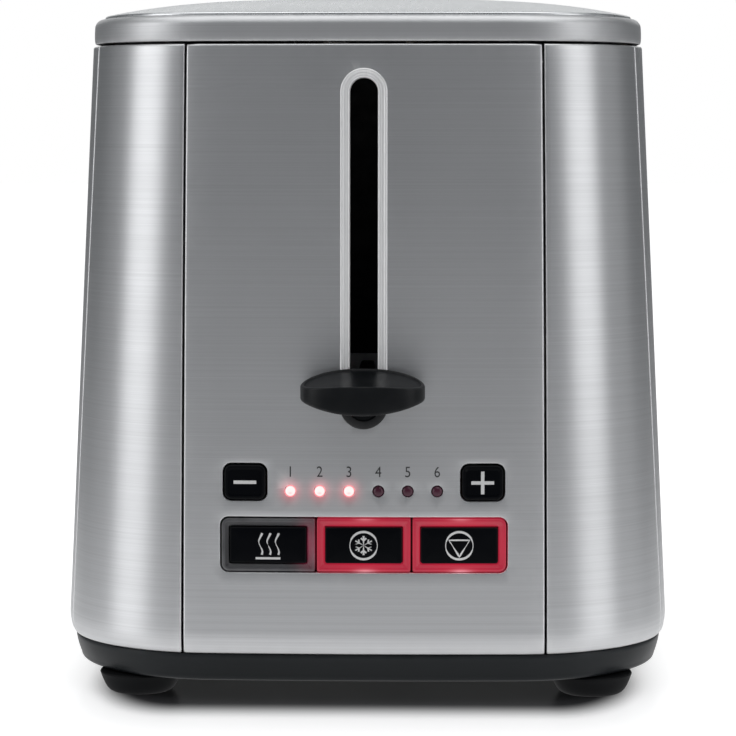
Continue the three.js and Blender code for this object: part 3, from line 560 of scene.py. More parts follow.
# Brushed sheet steel: tone and gloss both follow the strokes, edges are brighter.
def brushedMetal(name, look):
    fixed = {"Anisotropic": look["anisotropy"], "Anisotropic Rotation": 0.25}
    material, tree, shader, place = startMaterial(name, look.get("metal", 1.0), **fixed)
    strokes = tree.use(brushStrokes, Place=place, Squeeze=look["squeeze"])
    marks = tree.use(handling, Place=place, Scale=look["marks"])
    wearAndHighlight = tree.use(edgeWearAndHighlight, Place=place, Reach=look["edgeReach"])
    colour = tree.mix(strokes["Tone"], (*look["dark"], 1), (*look["light"], 1))
    colour = tree.mix(tree.math("MULTIPLY", wearAndHighlight["Mask"], look["edge"]), colour, (*look["edgeColour"], 1))
    tree.feed(shader.inputs["Base Color"], colour)
    gloss = tree.spread(strokes["Tone"], 0.0, 1.0, look["rough"][1], look["rough"][0])
    gloss = tree.math("ADD", gloss, tree.math("MULTIPLY", marks["Amount"], look["marksRough"]))
    tree.feed(shader.inputs["Roughness"], gloss)
    if look["anisotropy"]:
        facingOut = tree.node("NewGeometry").outputs["Normal"]
        along = tree.vector("NORMALIZE", tree.vector("CROSS_PRODUCT", facingOut, (0.0, 0.0, 1.0)))
        tree.feed(shader.inputs["Tangent"], along)
    addBump(tree, shader, strokes["Height"], look["bump"], 0.02 * mm)
    return material, tree, shader, place


# Moulded plastic or rubber: fine texture, slow change of gloss, paler edges.
def mouldedPlastic(name, look):
    fixed = {"Specular IOR Level": look.get("shine", 0.35)}
    material, tree, shader, place = startMaterial(name, 0.0, **fixed)
    texture = tree.use(mouldTexture, Place=place, Size=look["grain"])
    marks = tree.use(handling, Place=place, Scale=45.0)
    wearAndHighlight = tree.use(edgeWearAndHighlight, Place=place, Reach=0.05)
    colour = tree.mix(texture["Tone"], (*look["dark"], 1), (*look["light"], 1))
    colour = tree.mix(tree.math("MULTIPLY", wearAndHighlight["Mask"], look["edge"]), colour, (*look["edgeColour"], 1))
    tree.feed(shader.inputs["Base Color"], colour)
    tree.feed(shader.inputs["Roughness"], tree.spread(marks["Amount"], 0, 1, *look["rough"]))
    addBump(tree, shader, texture["Height"], look["bump"], 0.02 * mm)
    return material, tree, shader, place


steelLook = {
    "dark": (0.545, 0.55, 0.56), "light": (0.65, 0.657, 0.67), "squeeze": (11, 11, 5600), "anisotropy": 0.55,
    "rough": (0.33, 0.40), "marks": 14.0, "marksRough": 0.03, "bump": 0.12, "edge": 0.5, "edgeReach": 0.05,
    "edgeColour": (0.92, 0.92, 0.92),
}
frontSteel, frontTree, frontShader, frontPlace = brushedMetal("frontSteel", steelLook)
zincLook = {**steelLook, "squeeze": (220, 220, 220), "anisotropy": 0.0, "rough": (0.35, 0.5),
            "dark": (0.33, 0.34, 0.35), "light": (0.5, 0.51, 0.52)}
metalLooks = {
    "sideSteel": {**steelLook, "squeeze": (10, 10, 5200)},
    "rearSteel": steelLook,
    "lidSteel": {**steelLook, "squeeze": (2600, 11, 2600), "rough": (0.25, 0.30), "bump": 0.03,
                 "dark": (0.60, 0.62, 0.635), "light": (0.68, 0.70, 0.715), "anisotropy": 0.0},
    "rimSteel": {**steelLook, "squeeze": (10, 10, 5600), "rough": (0.42, 0.50), "anisotropy": 0.3,
                 "dark": (0.52, 0.525, 0.535), "light": (0.62, 0.627, 0.64)},
    "trimSteel": {**steelLook, "squeeze": (1500, 1500, 30), "rough": (0.34, 0.38), "bump": 0.02, "edge": 0.1,
                  "metal": 0.4, "dark": (0.86, 0.86, 0.86), "light": (0.95, 0.95, 0.95), "anisotropy": 0.0},
    "zincSheet": zincLook,
    "screwSteel": {**zincLook, "rough": (0.22, 0.32)},
    "wireSteel": {**zincLook, "squeeze": (700, 60, 700), "rough": (0.2, 0.3),
                  "dark": (0.42, 0.41, 0.40), "light": (0.6, 0.59, 0.57)},
    "coreIron": {**zincLook, "squeeze": (60, 2400, 60),
                 "dark": (0.12, 0.12, 0.125), "light": (0.24, 0.24, 0.245)},
    # near black sheet for the lever arm and the chassis plate seen through the slot: painted shade of the
    # slot's inside
    "paintedShadeSheet": {**zincLook, "rough": (0.45, 0.6), "edge": 0.05,
                    "dark": (0.008, 0.008, 0.0085), "light": (0.02, 0.02, 0.021)},
    "coilCopper": {**zincLook, "squeeze": (60, 60, 1600), "rough": (0.25, 0.4),
                   "dark": (0.35, 0.12, 0.045), "light": (0.6, 0.24, 0.09)},
}
plasticLooks = {
    "basePlastic": {
        "dark": (0.0075, 0.0092, 0.0105), "light": (0.011, 0.0132, 0.015), "edgeColour": (0.06, 0.065, 0.07),
        "rough": (0.34, 0.44), "shine": 0.2, "grain": 1.0, "bump": 0.25, "edge": 0.25},
    "footRubber": {
        "dark": (0.0025, 0.003, 0.0036), "light": (0.0045, 0.005, 0.0058), "edgeColour": (0.03, 0.03, 0.03),
        "rough": (0.55, 0.7), "shine": 0.1, "grain": 0.6, "bump": 0.4, "edge": 0.15},
    # the knob's pale edges are a painted highlight along its rims
    "knobPlastic": {
        "dark": (0.0035, 0.0042, 0.0052), "light": (0.006, 0.007, 0.0082), "edgeColour": (0.12, 0.12, 0.12),
        "rough": (0.26, 0.34), "shine": 0.12, "grain": 1.4, "bump": 0.1, "edge": 0.35},
    "buttonPlastic": {
        "dark": (0.0018, 0.0022, 0.0032), "light": (0.0034, 0.0038, 0.005), "edgeColour": (0.05, 0.05, 0.05),
        "rough": (0.16, 0.24), "shine": 0.04, "grain": 1.2, "bump": 0.05, "edge": 0.2},
    "symbolInk": {
        "dark": (0.62, 0.62, 0.62), "light": (0.74, 0.74, 0.74), "edgeColour": (0.8, 0.8, 0.8),
        "rough": (0.4, 0.5), "grain": 1.5, "bump": 0.1, "edge": 0.0},
    "numberInk": {
        "dark": (0.03, 0.03, 0.032), "light": (0.05, 0.05, 0.052), "edgeColour": (0.05, 0.05, 0.05),
        "rough": (0.5, 0.6), "grain": 1.5, "bump": 0.1, "edge": 0.0},
    "micaCard": {
        "dark": (0.33, 0.25, 0.15), "light": (0.50, 0.41, 0.28), "edgeColour": (0.62, 0.55, 0.42),
        "rough": (0.5, 0.7), "grain": 0.3, "bump": 0.6, "edge": 0.3},
    "boardGreen": {
        "dark": (0.008, 0.07, 0.03), "light": (0.014, 0.12, 0.05), "edgeColour": (0.25, 0.3, 0.15),
        "rough": (0.3, 0.4), "grain": 0.5, "bump": 0.2, "edge": 0.3},
    "darkLamp": {
        "dark": (0.052, 0.012, 0.026), "light": (0.075, 0.018, 0.036), "edgeColour": (0.15, 0.05, 0.08),
        "rough": (0.14, 0.22), "grain": 0.6, "bump": 0.1, "edge": 0.2},
}
paint = {name: brushedMetal(name, look)[0] for name, look in metalLooks.items()}
paint.update({name: mouldedPlastic(name, look)[0] for name, look in plasticLooks.items()})
print("materials ready")


# the wrap-round covers
coverForm = {
    "sheet": 0.45 * mm,
    "roll": 0.6 * mm,
    "lip": 1.2 * mm,
    "net": 3.0 * mm,
    "edgeBow": 0.15 * mm,
    "rowStep": 4.0 * mm,
    "curlRows": 9,
    "columnsCorner": 40,
    "columnsSide": 44,
    "columnsEnd": 41,
}
seamHalf = bodyForm["seam"] / 2
halfAtCurl = frontHigh.x + seamHalf
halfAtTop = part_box("front_corner_right")[0].x - seamHalf
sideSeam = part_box("side_panel_right")[0].y - seamHalf - centreY


# Heights over the curl at the foot, closer together the lower they are.
def curlLevels():
    share = np.sin(np.linspace(0, math.pi / 2, coverForm["curlRows"]))
    return shellBottom + bodyForm["curlHeight"] * (1 - share[::-1])


# Half the width of an end cover, seam middle to centre line, at a height.
def coverHalf(z):
    share = np.clip((z - curlTop) / (shellTop - curlTop), 0, 1)
    return halfAtCurl + (halfAtTop - halfAtCurl) * share + coverForm["edgeBow"] * 4 * share * (1 - share)


# Heights of a cover's rows and how deep each lies: close together over the curl, even above it, rolled in at
# the top.
def coverRows():
    roll, lip = coverForm["roll"], coverForm["lip"]
    curl = curlLevels()
    length = shellTop - curlTop
    even = np.linspace(0, length - roll, int(length / coverForm["rowStep"]))[1:]
    offset, depth = rolledEdge(roll, lip)
    z = np.concatenate([curl[:1], curl, curlTop + even, curlTop + length - roll + offset[1:]])
    return z, np.concatenate([[lip], 0 * curl, 0 * even, depth[1:]])


# A cover between two seams: the distance along the outline runs from one seam to the other at each height, and
# the edges sink inwards by the deeper of the row's and the column's roll.
def wrapCover(node, startOf, endOf, flipX, flipY, columns):
    z, rowDeep = coverRows()
    start, end = startOf(z), endOf(z)
    length = (end - start)[:, None]
    roll = coverForm["roll"]
    offset, depth = rolledEdge(roll, coverForm["lip"])
    share = np.linspace(0, 1, columns)
    inner = roll + share[None] * (length - 2 * roll)
    lowEdge = np.broadcast_to((roll - offset)[:0:-1], (len(z), len(offset) - 1))
    q = start[:, None] + np.concatenate([lowEdge, inner, length - lowEdge[:, ::-1]], 1)
    columnDeep = np.concatenate([depth[:0:-1], 0 * share, depth[1:]])
    deep = np.maximum(columnDeep[None], rowDeep[:, None])
    if flipY:
        q = 2 * quarter - q
    if flipX:
        q = -q
    grid = wallPoint(q, z[:, None], deep)
    mesh = meshOfGrids(node, [(grid, False, False)])
    low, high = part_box(node)
    outward = Vector(((low.x + high.x) / 2, (low.y + high.y) / 2 - centreY, 0))
    facing(mesh, outward)
    piece = finishPiece(mesh, node + "_cover", paint["sideSteel"], "root", [node], sharp=60)
    return solidify(piece, coverForm["sheet"])


# Where along the outline the front seam and the side seam lie at a height.
def frontSeamAlong(z):
    return alongAtX((coverHalf(z) + seamHalf) / (1 - wallInset(z, bodyForm["sideLean"]) / halfWide))


def sideSeamAlong(z, shift=0.0):
    return alongAtY((sideSeam + shift) / (1 - wallInset(z, bodyForm["endLean"]) / halfLong))


for endName, flipY in (("front", False), ("rear", True)):
    for sideName, flipX in (("right", False), ("left", True)):
        wrapCover(f"{endName}_corner_{sideName}", frontSeamAlong, lambda z: sideSeamAlong(z, -seamHalf),
                  flipX, flipY, coverForm["columnsCorner"])
for sideName, flipX in (("right", False), ("left", True)):
    wrapCover(f"side_panel_{sideName}", lambda z: sideSeamAlong(z, seamHalf),
              lambda z: 2 * quarter - sideSeamAlong(z, seamHalf), flipX, False, coverForm["columnsSide"])


# An end cover: a flat net with its openings above the curl, a strip of rows over the curl, and rolled edges.
def endCover(node, side, holes, material):
    roll, lip, net = coverForm["roll"], coverForm["lip"], coverForm["net"]
    flatBottom = curlTop + 0.5 * mm
    across = np.linspace(-1, 1, coverForm["columnsEnd"])
    curl = np.append(curlLevels(), flatBottom)
    upright = np.linspace(flatBottom, shellTop - roll, int((shellTop - flatBottom) / net))

    def rightSide(z):
        return np.stack([coverHalf(z) - seamHalf - roll, z], 1)

    def crossing(end):
        return np.stack([across * end[0], 0 * across + end[1]], 1)

    rightEdge, curlEdge = rightSide(upright), rightSide(curl)
    upperPart = [rightEdge[1:], crossing(rightEdge[-1])[-2::-1]]
    leftEdge = rightEdge[::-1] * [-1, 1]
    outline = np.concatenate([crossing(rightEdge[0]), *upperPart, leftEdge[1:-1]])

    def place(x, z, depth):
        y = endWallY(x, z, side) - side * depth
        return np.stack(np.broadcast_arrays(x, y, z), -1)

    flat, faces = sheetWithHoles(outline, [hole for hole, _ in holes], net)
    strip = place(across[None] * curlEdge[:, :1], curlEdge[:, 1:] + 0 * across, 0)
    meshes = [meshOf(node, place(flat[:, 0], flat[:, 1], 0), faces),
              meshOf(node, strip, gridFaces(*strip.shape[:2]))]
    foot = crossing(curlEdge[0])
    whole = np.concatenate([foot, curlEdge[1:], *upperPart, leftEdge[1:], (curlEdge * [-1, 1])[-2:0:-1]])
    offset, depth = rolledEdge(roll, lip)
    rings = ringsAlong(whole, offset)
    rings[:, :len(foot), 1] = foot[None, :, 1]
    rims = [(place(rings[..., 0], rings[..., 1], depth[:, None]), False, True)]
    rims += [rolledRim(hole, holeRoll, lip, place) for hole, holeRoll in holes]
    meshes.append(meshOfGrids(node, rims, recalc=False))
    mesh = facing(cleaned(joinedMesh(node, meshes), 8e-6), (0, side, 0))
    piece = finishPiece(mesh, node + "_cover", material, "root", [node], sharp=60)
    return solidify(piece, coverForm["sheet"])


# the controls' places on the front, from their CAD boxes
controlForm = {
    "gap": 0.35 * mm,
    "round": 2.0 * mm,
    "proud": 0.6 * mm,
    "openingRoll": 0.45 * mm,
    "ledRadius": 1.5 * mm,
    "capDeep": 5.0 * mm,
}
minusMiddle, plusMiddle = middle("button_minus"), middle("button_plus")
dialLevel = minusMiddle.z
dialSize = (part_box("button_minus")[1].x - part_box("button_minus")[0].x,
            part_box("button_minus")[1].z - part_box("button_minus")[0].z - 0.25 * mm)
functionNames = ("reheat", "defrost", "stop")
functionAcross = [middle("light_frame_" + name).x for name in functionNames]
functionLow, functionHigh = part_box("light_frame_defrost")
functionLevel = (functionLow.z + functionHigh.z) / 2
functionSize = (functionHigh.x - functionLow.x, functionHigh.z - functionLow.z - 0.2 * mm)
capLow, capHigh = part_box("button_defrost")
capSize = (capHigh.x - capLow.x, capHigh.z - capLow.z - 0.25 * mm)
ledLevel = middle("led_1").z
ledAcross = [middle(f"led_{i}").x for i in range(1, 7)]
trimLow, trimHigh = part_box("lever_slot_trim")
trimHalf = (trimHigh.x - trimLow.x) / 2


# The front's openings with the roll of each rim: slot, button row, dials and lamps.
def controlHoles():
    gap, roll, corner = controlForm["gap"], controlForm["openingRoll"], controlForm["round"]
    grow = 2 * (gap + roll)
    dial = [roundedLoop(x, dialLevel, dialSize[0] + grow, dialSize[1] + grow, corner + gap + roll)
            for x in (minusMiddle.x, plusMiddle.x)]
    rowWidth = functionAcross[2] - functionAcross[0] + functionSize[0]
    row = roundedLoop(0, functionLevel, rowWidth + grow, functionSize[1] + grow, corner + gap + roll)
    leds = [circleLoop(x, ledLevel, controlForm["ledRadius"] + 0.3 * mm, 28) for x in ledAcross]
    slot = stadiumLoop(trimHalf - 0.7 * mm, trimLow.z + 0.7 * mm, trimHigh.z - 0.7 * mm)
    return [(denser(slot, 2.5 * mm), 0.15 * mm), (denser(row, 2 * mm), roll),
            *[(denser(loop, 2 * mm), roll) for loop in dial], *[(loop, 0.15 * mm) for loop in leds]]


# the red light that the lamps throw on the panel round them
haloForm = {"reach": 2.55 * mm, "colour": (0.62, 0.045, 0.075), "strength": 0.75}
lampPlaces = [(x, float(endWallY(x, ledLevel)), ledLevel) for x in ledAcross[:3]]
halo = None
for lamp in lampPlaces:
    glow = frontTree.use(lampGlow, Place=frontPlace, Centre=lamp, Reach=haloForm["reach"])["Mask"]
    halo = glow if halo is None else frontTree.math("ADD", halo, glow)
halo = frontTree.math("MULTIPLY", halo, haloForm["strength"], clamp=True)
frontTree.feed(frontShader.inputs["Emission Color"],
               frontTree.mix(halo, (0, 0, 0, 1), (*haloForm["colour"], 1)))
frontShader.inputs["Emission Strength"].default_value = 1.0

glandMiddle = middle("cord_gland")
endCover("front_panel", -1, controlHoles(), frontSteel)
endCover("rear_panel", 1, [(circleLoop(glandMiddle.x, glandMiddle.z, 6.5 * mm, 40), 0.15 * mm)],
         paint["rearSteel"])
print("covers made")


# the lid: a rim band with a rounded shoulder, and a domed plate with two deep-collared slots
lidForm = {
    "rimInset": 0.4 * mm,
    "shoulderDepth": 2.5 * mm,
    "bandTop": 191.5 * mm,
    "edgeRoll": 0.5 * mm,
    "edgeLip": 0.35 * mm,
    "crownPower": 3.0,
    "slotAcross": 27 * mm,
    "slotWidth": 31 * mm,
    "slotLength": 152 * mm,
    "slotRadius": 6 * mm,
    "slotLip": 2.6 * mm,
    "slotStep": 3 * mm,
    "collarDeep": 40 * mm,
    "net": 4 * mm,
    "sheet": 0.5 * mm,
}
rimLow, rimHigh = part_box("lid_rim")
plateLow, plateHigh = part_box("lid_plate")
slotMiddleY = (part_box("bread_guard_left_inner")[0].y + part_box("bread_guard_left_inner")[1].y) / 2


# The closed outline scaled in by an inset, at a height, as one row of points.
def outlineRow(q, inset, z):
    topX, topY = wallInset(shellTop, bodyForm["sideLean"]), wallInset(shellTop, bodyForm["endLean"])
    x, y = outlineAt(q)
    sx, sy = 1 - (topX + inset) / halfWide, 1 - (topY + inset) / halfLong
    return np.stack(np.broadcast_arrays(x * sx, centreY + y * sy, z), -1)


# The rim: one section of foot, band, rounded shoulder and inner lip, carried round the body's outline.
def makeLidRim():
    q = np.linspace(-2 * quarter, 2 * quarter, 320, endpoint=False)
    band, top = lidForm["bandTop"], rimHigh.z
    turn = np.linspace(0, math.pi / 2, 10)
    inward, upward = lidForm["shoulderDepth"] * (1 - np.cos(turn)), (top - band) * np.sin(turn)
    shoulder = np.stack([inward, band + upward], 1)
    foot = np.array([[3.2, 0.9], [1.4, 0.35], [0.75, 0.06], [0.4, 0.0], [0.14, 0.12], [0.02, 0.4],
                     [-0.06, 1.0], [-0.1, 2.0], [-0.08, 3.2]]) * mm + [0, rimLow.z]
    inner = np.array([[3.4, 0.0], [4.4, -0.06], [5.0, -0.5], [5.0, -2.2]]) * mm + [0, top]
    profile = np.concatenate([foot, shoulder, inner])
    rows = [outlineRow(q, lidForm["rimInset"] + inset, z) for inset, z in profile]
    mesh = facing(meshOfGrids("lidRim", [(np.stack(rows), False, True)]), (0, 0, 1))
    piece = finishPiece(mesh, "lidRim", paint["rimSteel"], "root", ["lid_rim"], sharp=60)
    solidify(piece, lidForm["sheet"])


# The plate's height: highest in the middle, falling with a power of the share of the way to the outline.
def crownHeight(x, y, edgeRow):
    angle = np.arctan2(edgeRow[:, 1] - centreY, edgeRow[:, 0])
    reach = np.hypot(edgeRow[:, 0], edgeRow[:, 1] - centreY)
    order = np.argsort(angle)
    there = np.interp(np.arctan2(y - centreY, x), angle[order], reach[order], period=2 * math.pi)
    share = np.clip(np.hypot(x, y - centreY) / there, 0, 1)
    rise = plateHigh.z - rimHigh.z - 0.3 * mm - lidForm["edgeRoll"]
    return plateHigh.z - rise * share ** lidForm["crownPower"]


# The plate: a flat net inside, bands that scale in from the outline, a rolled edge and two slot collars.
def makeLidPlate():
    q = np.linspace(-2 * quarter, 2 * quarter, 280, endpoint=False)
    inset = halfWide - wallInset(shellTop, bodyForm["sideLean"]) - plateHigh.x
    edge = outlineRow(q, inset, 0)[:, :2]
    roll = lidForm["edgeRoll"]
    shares = np.array([0.86, 0.89, 0.92, 0.945, 0.965, 0.98, 0.99, 1 - roll / plateHigh.x])
    centre = np.array([0, centreY])

    def place(x, y, depth):
        z = np.maximum(crownHeight(x, y, edge) - depth, plateLow.z)
        return np.stack(np.broadcast_arrays(x, y, z), -1)

    bands = centre + shares[:, None, None] * (edge - centre)[None]
    grids = [(place(bands[..., 0], bands[..., 1], 0), False, True),
             rolledRim(bands[-1], roll, lidForm["edgeLip"], place, True)]
    lip = lidForm["slotLip"]
    size = (lidForm["slotWidth"] + 2 * lip, lidForm["slotLength"] + 2 * lip, lidForm["slotRadius"] + lip)
    holes = [roundedLoop(side * lidForm["slotAcross"], slotMiddleY, *size) for side in (-1, 1)]
    holes = [denser(hole, lidForm["slotStep"]) for hole in holes]
    offset, depth = rolledEdge(lip, lidForm["collarDeep"], 8)
    offset, depth = np.append(offset, offset[-1]), np.insert(depth, -1, lip + 3 * mm)
    for hole in holes:
        rings = ringsAlong(hole, offset, False)
        grids.append((place(rings[..., 0], rings[..., 1], depth[:, None]), False, True))
    flat, faces = sheetWithHoles(bands[0], holes, lidForm["net"])
    sheet = meshOf("lidPlate", place(flat[:, 0], flat[:, 1], 0), faces)
    mesh = cleaned(joinedMesh("lidPlate", [sheet, meshOfGrids("lidPlate", grids, recalc=False)]), 8e-6)
    facing(mesh, (0, 0, 1))
    piece = finishPiece(mesh, "lidPlate", paint["lidSteel"], "root", ["lid_plate"], sharp=60)
    solidify(piece, lidForm["sheet"])


makeLidRim()
makeLidPlate()
print("lid made")


# the base moulding, its feet and their screws
baseForm = {
    "topInset": 1.6 * mm,
    "growth": 2.0 * mm,
    "growthPower": 1.6,
    "edgeRound": 1.6 * mm,
    "doorHalf": 58.6 * mm,
    "doorBottom": 9.2 * mm,
    "wall": 1.6 * mm,
    "ventRows": 6,
    "ventStep": 20 * mm,
    "ventAcross": 27 * mm,
    "ventLength": 36 * mm,
    "ventWidth": 4 * mm,
    "spigotIn": 3.3 * mm,
    "screwHole": 2.1 * mm,
    "rimRoll": 0.4 * mm,
    "rimLip": 0.8 * mm,
}
baseLow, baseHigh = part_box("base")
baseTop = shellBottom - 0.3 * mm


# The base's inset grows downwards with a power of the share of its height.
def baseInset(z):
    share = np.clip((z - baseLow.z) / (baseTop - baseLow.z), 0, 1)
    return baseForm["topInset"] + baseForm["growth"] * (1 - share) ** baseForm["growthPower"]


# A row of the base's outline at an inset from the body's widest outline.
def baseRow(q, inset, z):
    x, y = outlineAt(q)
    sx, sy = 1 - inset / halfWide, 1 - inset / halfLong
    return np.stack(np.broadcast_arrays(x * sx, centreY + y * sy, z), -1)


# The base: a wall carried round the outline, open for the tray at the rear, and a vented floor.
def makeBase():
    doorAlong = 2 * quarter - alongAtX(baseForm["doorHalf"] / (1 - 5 * mm / halfWide))
    behindDoor = np.linspace(doorAlong, 4 * quarter - doorAlong, 40)
    q = np.concatenate([np.linspace(-doorAlong, doorAlong, 260), behindDoor[1:-1]])
    edge = baseForm["edgeRound"]
    turn = np.linspace(0, math.pi / 2, 6)
    wallZ = np.concatenate([[baseTop], np.linspace(baseTop - 0.5 * mm, baseForm["doorBottom"], 6),
                            np.linspace(baseForm["doorBottom"], baseLow.z + edge, 4)[1:]])
    wall = np.stack([baseInset(wallZ), wallZ], 1)
    wall[0, 0] += 0.35 * mm
    cornerInset = baseInset(baseLow.z + edge)
    under = np.stack([cornerInset + edge * (1 - np.cos(turn)), baseLow.z + edge * (1 - np.sin(turn))], 1)
    innerInset = baseForm["topInset"] + baseForm["spigotIn"]
    inner = np.array([[innerInset, baseHigh.z], [innerInset, baseTop + 0.1 * mm]])
    profile = np.concatenate([inner, wall, under[1:]])
    grid = np.stack([baseRow(q, inset, z) for inset, z in profile])
    faces = gridFaces(*grid.shape[:2], closeColumns=True)
    points = grid.reshape(-1, 3)
    centre = points[faces].mean(1)
    door = (np.abs(centre[:, 0]) < baseForm["doorHalf"]) & (centre[:, 1] > centreY + halfLong / 2)
    door &= (centre[:, 2] > baseForm["doorBottom"]) & (centre[:, 2] < baseTop + 0.2 * mm)
    meshes = [meshOf("base", points, faces[~door])]
    outline = grid[-1][:, :2]
    rows, length, width = baseForm["ventRows"], baseForm["ventLength"], baseForm["ventWidth"]
    levels = slotMiddleY + (np.arange(rows) - (rows - 1) / 2) * baseForm["ventStep"]
    vents = [roundedLoop(side * baseForm["ventAcross"], y, length, width, width * 0.49)
             for y in levels for side in (-1, 1)]
    vents = [denser(loop, 3 * mm) for loop in vents]
    screws = [middle(f"foot_screw_{end}_{side}") for end in ("front", "rear") for side in ("left", "right")]
    screwHoles = [circleLoop(screw.x, screw.y, baseForm["screwHole"], 20) for screw in screws]
    flat, faces = sheetWithHoles(outline, [*vents, *screwHoles], 6 * mm)
    meshes.append(meshOf("base", np.column_stack([flat, 0 * flat[:, 0] + baseLow.z]), faces))

    def place(x, y, depth):
        return np.stack([x, y, baseLow.z + depth], -1)

    roll, lip = baseForm["rimRoll"], baseForm["rimLip"]
    rims = [rolledRim(loop, roll, lip, place, steps=3) for loop in [*vents, *screwHoles]]
    meshes.append(meshOfGrids("base", rims, recalc=False))
    mesh = facing(cleaned(joinedMesh("base", meshes), 8e-6), (0, 0, -1))
    plastic = paint["basePlastic"]
    piece = finishPiece(mesh, "baseMoulding", plastic, "root", ["base"], sharp=50)
    solidify(piece, baseForm["wall"])


makeBase()

# a rubber foot's section, radius and height, walked from its top round the tread to the screw bore
footSection = np.array([
    [2.2, 6.1], [11.0, 6.1], [11.6, 5.98], [11.8, 5.6], [11.2, 3.9], [10.5, 2.3], [9.9, 1.25], [9.2, 0.5],
    [8.5, 0.1], [7.9, 0.0], [7.2, 0.0], [7.0, 0.3], [6.4, 0.3], [6.2, 0.0], [5.0, 0.0], [4.35, 0.2],
    [3.95, 0.75], [3.9, 3.65], [2.2, 3.65], [2.2, 6.1]]) * mm
screwSection = np.array([[0, 8.8], [1.0, 8.7], [1.75, 8.1], [1.75, 3.62], [3.3, 3.6], [3.4, 3.4], [3.4, 2.4],
                         [3.15, 1.85], [2.6, 1.5], [2.1, 1.38]]) * mm
recessSection = np.array([[1.85, 1.37], [1.7, 1.5], [1.35, 2.4], [0.9, 2.9], [0.0, 3.0]]) * mm


# A screw with a cross recess: rings of the recess pull in between four arms by a power of the cosine.
def makeScrew(name, x, y):
    segments = 64
    outer = turnedGrid(screwSection, x, y, segments)
    turn = np.linspace(0, 2 * math.pi, segments, endpoint=False)
    arms = 0.42 + 0.58 * np.abs(np.cos(2 * turn)) ** 5
    reach = recessSection[:, :1] * arms[None]
    level = recessSection[:, 1:] + 0 * reach
    recess = np.stack([x + reach * np.cos(turn), y + reach * np.sin(turn), level], -1)
    mesh = meshOfGrids(name, [(np.concatenate([outer, recess]), False, True)])
    finishPiece(mesh, name + "_head", paint["screwSteel"], "root", [name], sharp=35)


for endName in ("front", "rear"):
    for sideName in ("left", "right"):
        place = middle(f"foot_{endName}_{sideName}")
        mesh = meshOfGrids("foot", [(turnedGrid(footSection, place.x, place.y, 72), False, True)])
        finishPiece(mesh, f"foot_{endName}_{sideName}_rubber", paint["footRubber"], "root",
                    [f"foot_{endName}_{sideName}"], sharp=40)
        makeScrew(f"foot_screw_{endName}_{sideName}", place.x, place.y)
print("base and feet made")


# the trim round the lever slot: a flat-topped bead with a shallow groove, turned down into the slot
trimForm = {
    "bar": 2.7 * mm,
    "deep": 3.2 * mm,
    "wall": 0.8 * mm,
    "arcPoints": 25,
    "section": [(0.0, -0.2), (0.0, 0.3), (0.1, 0.55), (0.32, 0.72), (0.62, 0.72), (0.86, 0.56), (1.05, 0.44),
                (1.45, 0.42), (1.68, 0.56), (1.95, 0.66), (2.3, 0.62), (2.55, 0.42), (2.7, 0.1)],
}


# The section is carried round the slot along two half circles joined by straight sides.
def makeTrim():
    deep, bar, wall = trimForm["deep"], trimForm["bar"], trimForm["wall"]
    inner = bar - wall
    back = np.array([[bar, -1 * mm], [bar, -deep], [inner, -deep], [inner, -wall], [0.9 * mm, -0.2 * mm]])
    section = np.concatenate([np.array(trimForm["section"]) * mm, back])
    turn = np.linspace(0, math.pi, trimForm["arcPoints"])
    down = np.linspace(0, 1, 24)[1:-1]
    arc = np.stack([np.cos(turn), np.sin(turn)], 1)
    straight = np.stack([0 * down + 1, 0 * down], 1)
    unit = np.concatenate([arc, -straight, -arc, straight])
    share = np.concatenate([0 * turn + 1, 1 - down, 0 * turn, down])
    radius = trimHalf - section[:, :1]
    straightLength = trimHigh.z - trimLow.z - 2 * trimHalf
    middleUp = trimLow.z + trimHalf + share * straightLength
    grid = onFront(radius * unit[None, :, 0], middleUp[None] + radius * unit[None, :, 1], section[:, 1:])
    mesh = meshOfGrids("trim", [(grid, True, True)])
    steel = paint["trimSteel"]
    finishPiece(mesh, "leverSlotTrim", steel, "root", ["lever_slot_trim"], sharp=55)


makeTrim()

# the lever: a broad knob, flat in front of the panel, and its stem
knobForm = {
    "power": 2.6,
    "cornerRise": 3.4 * mm,
    "topSlope": 3.5 * mm,
    "topDroop": 2.1 * mm,
    "droopPower": 2.4,
    "faceTop": 92.6 * mm,
    "rim": 0.45 * mm,
    "dish": 0.5 * mm,
    "stemHalf": 6.6 * mm,
    "stemTall": 9.4 * mm,
    "armHalf": 2.0 * mm,
    "collar": 6.75 * mm,
    "collarThick": 1.2 * mm,
}
knobLow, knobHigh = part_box("lever_knob")
knobHalfX, knobHalfY = (knobHigh.x - knobLow.x) / 2 + 0.2 * mm, (knobHigh.y - knobLow.y) / 2
knobY = (knobHigh.y + knobLow.y) / 2


# The knob's bottom rises to its corners with the square of the distance from its middle.
def knobBottom(x):
    return knobLow.z + knobForm["cornerRise"] * (x / knobHalfX) ** 2


# The knob's top rises evenly from front to back and falls with a power of the distance from its middle.
def knobTop(x, y):
    rise = knobForm["topSlope"] * (y - knobLow.y) / (2 * knobHalfY)
    droop = knobForm["topDroop"] * np.abs(x / knobHalfX) ** knobForm["droopPower"]
    return knobForm["faceTop"] + rise - droop


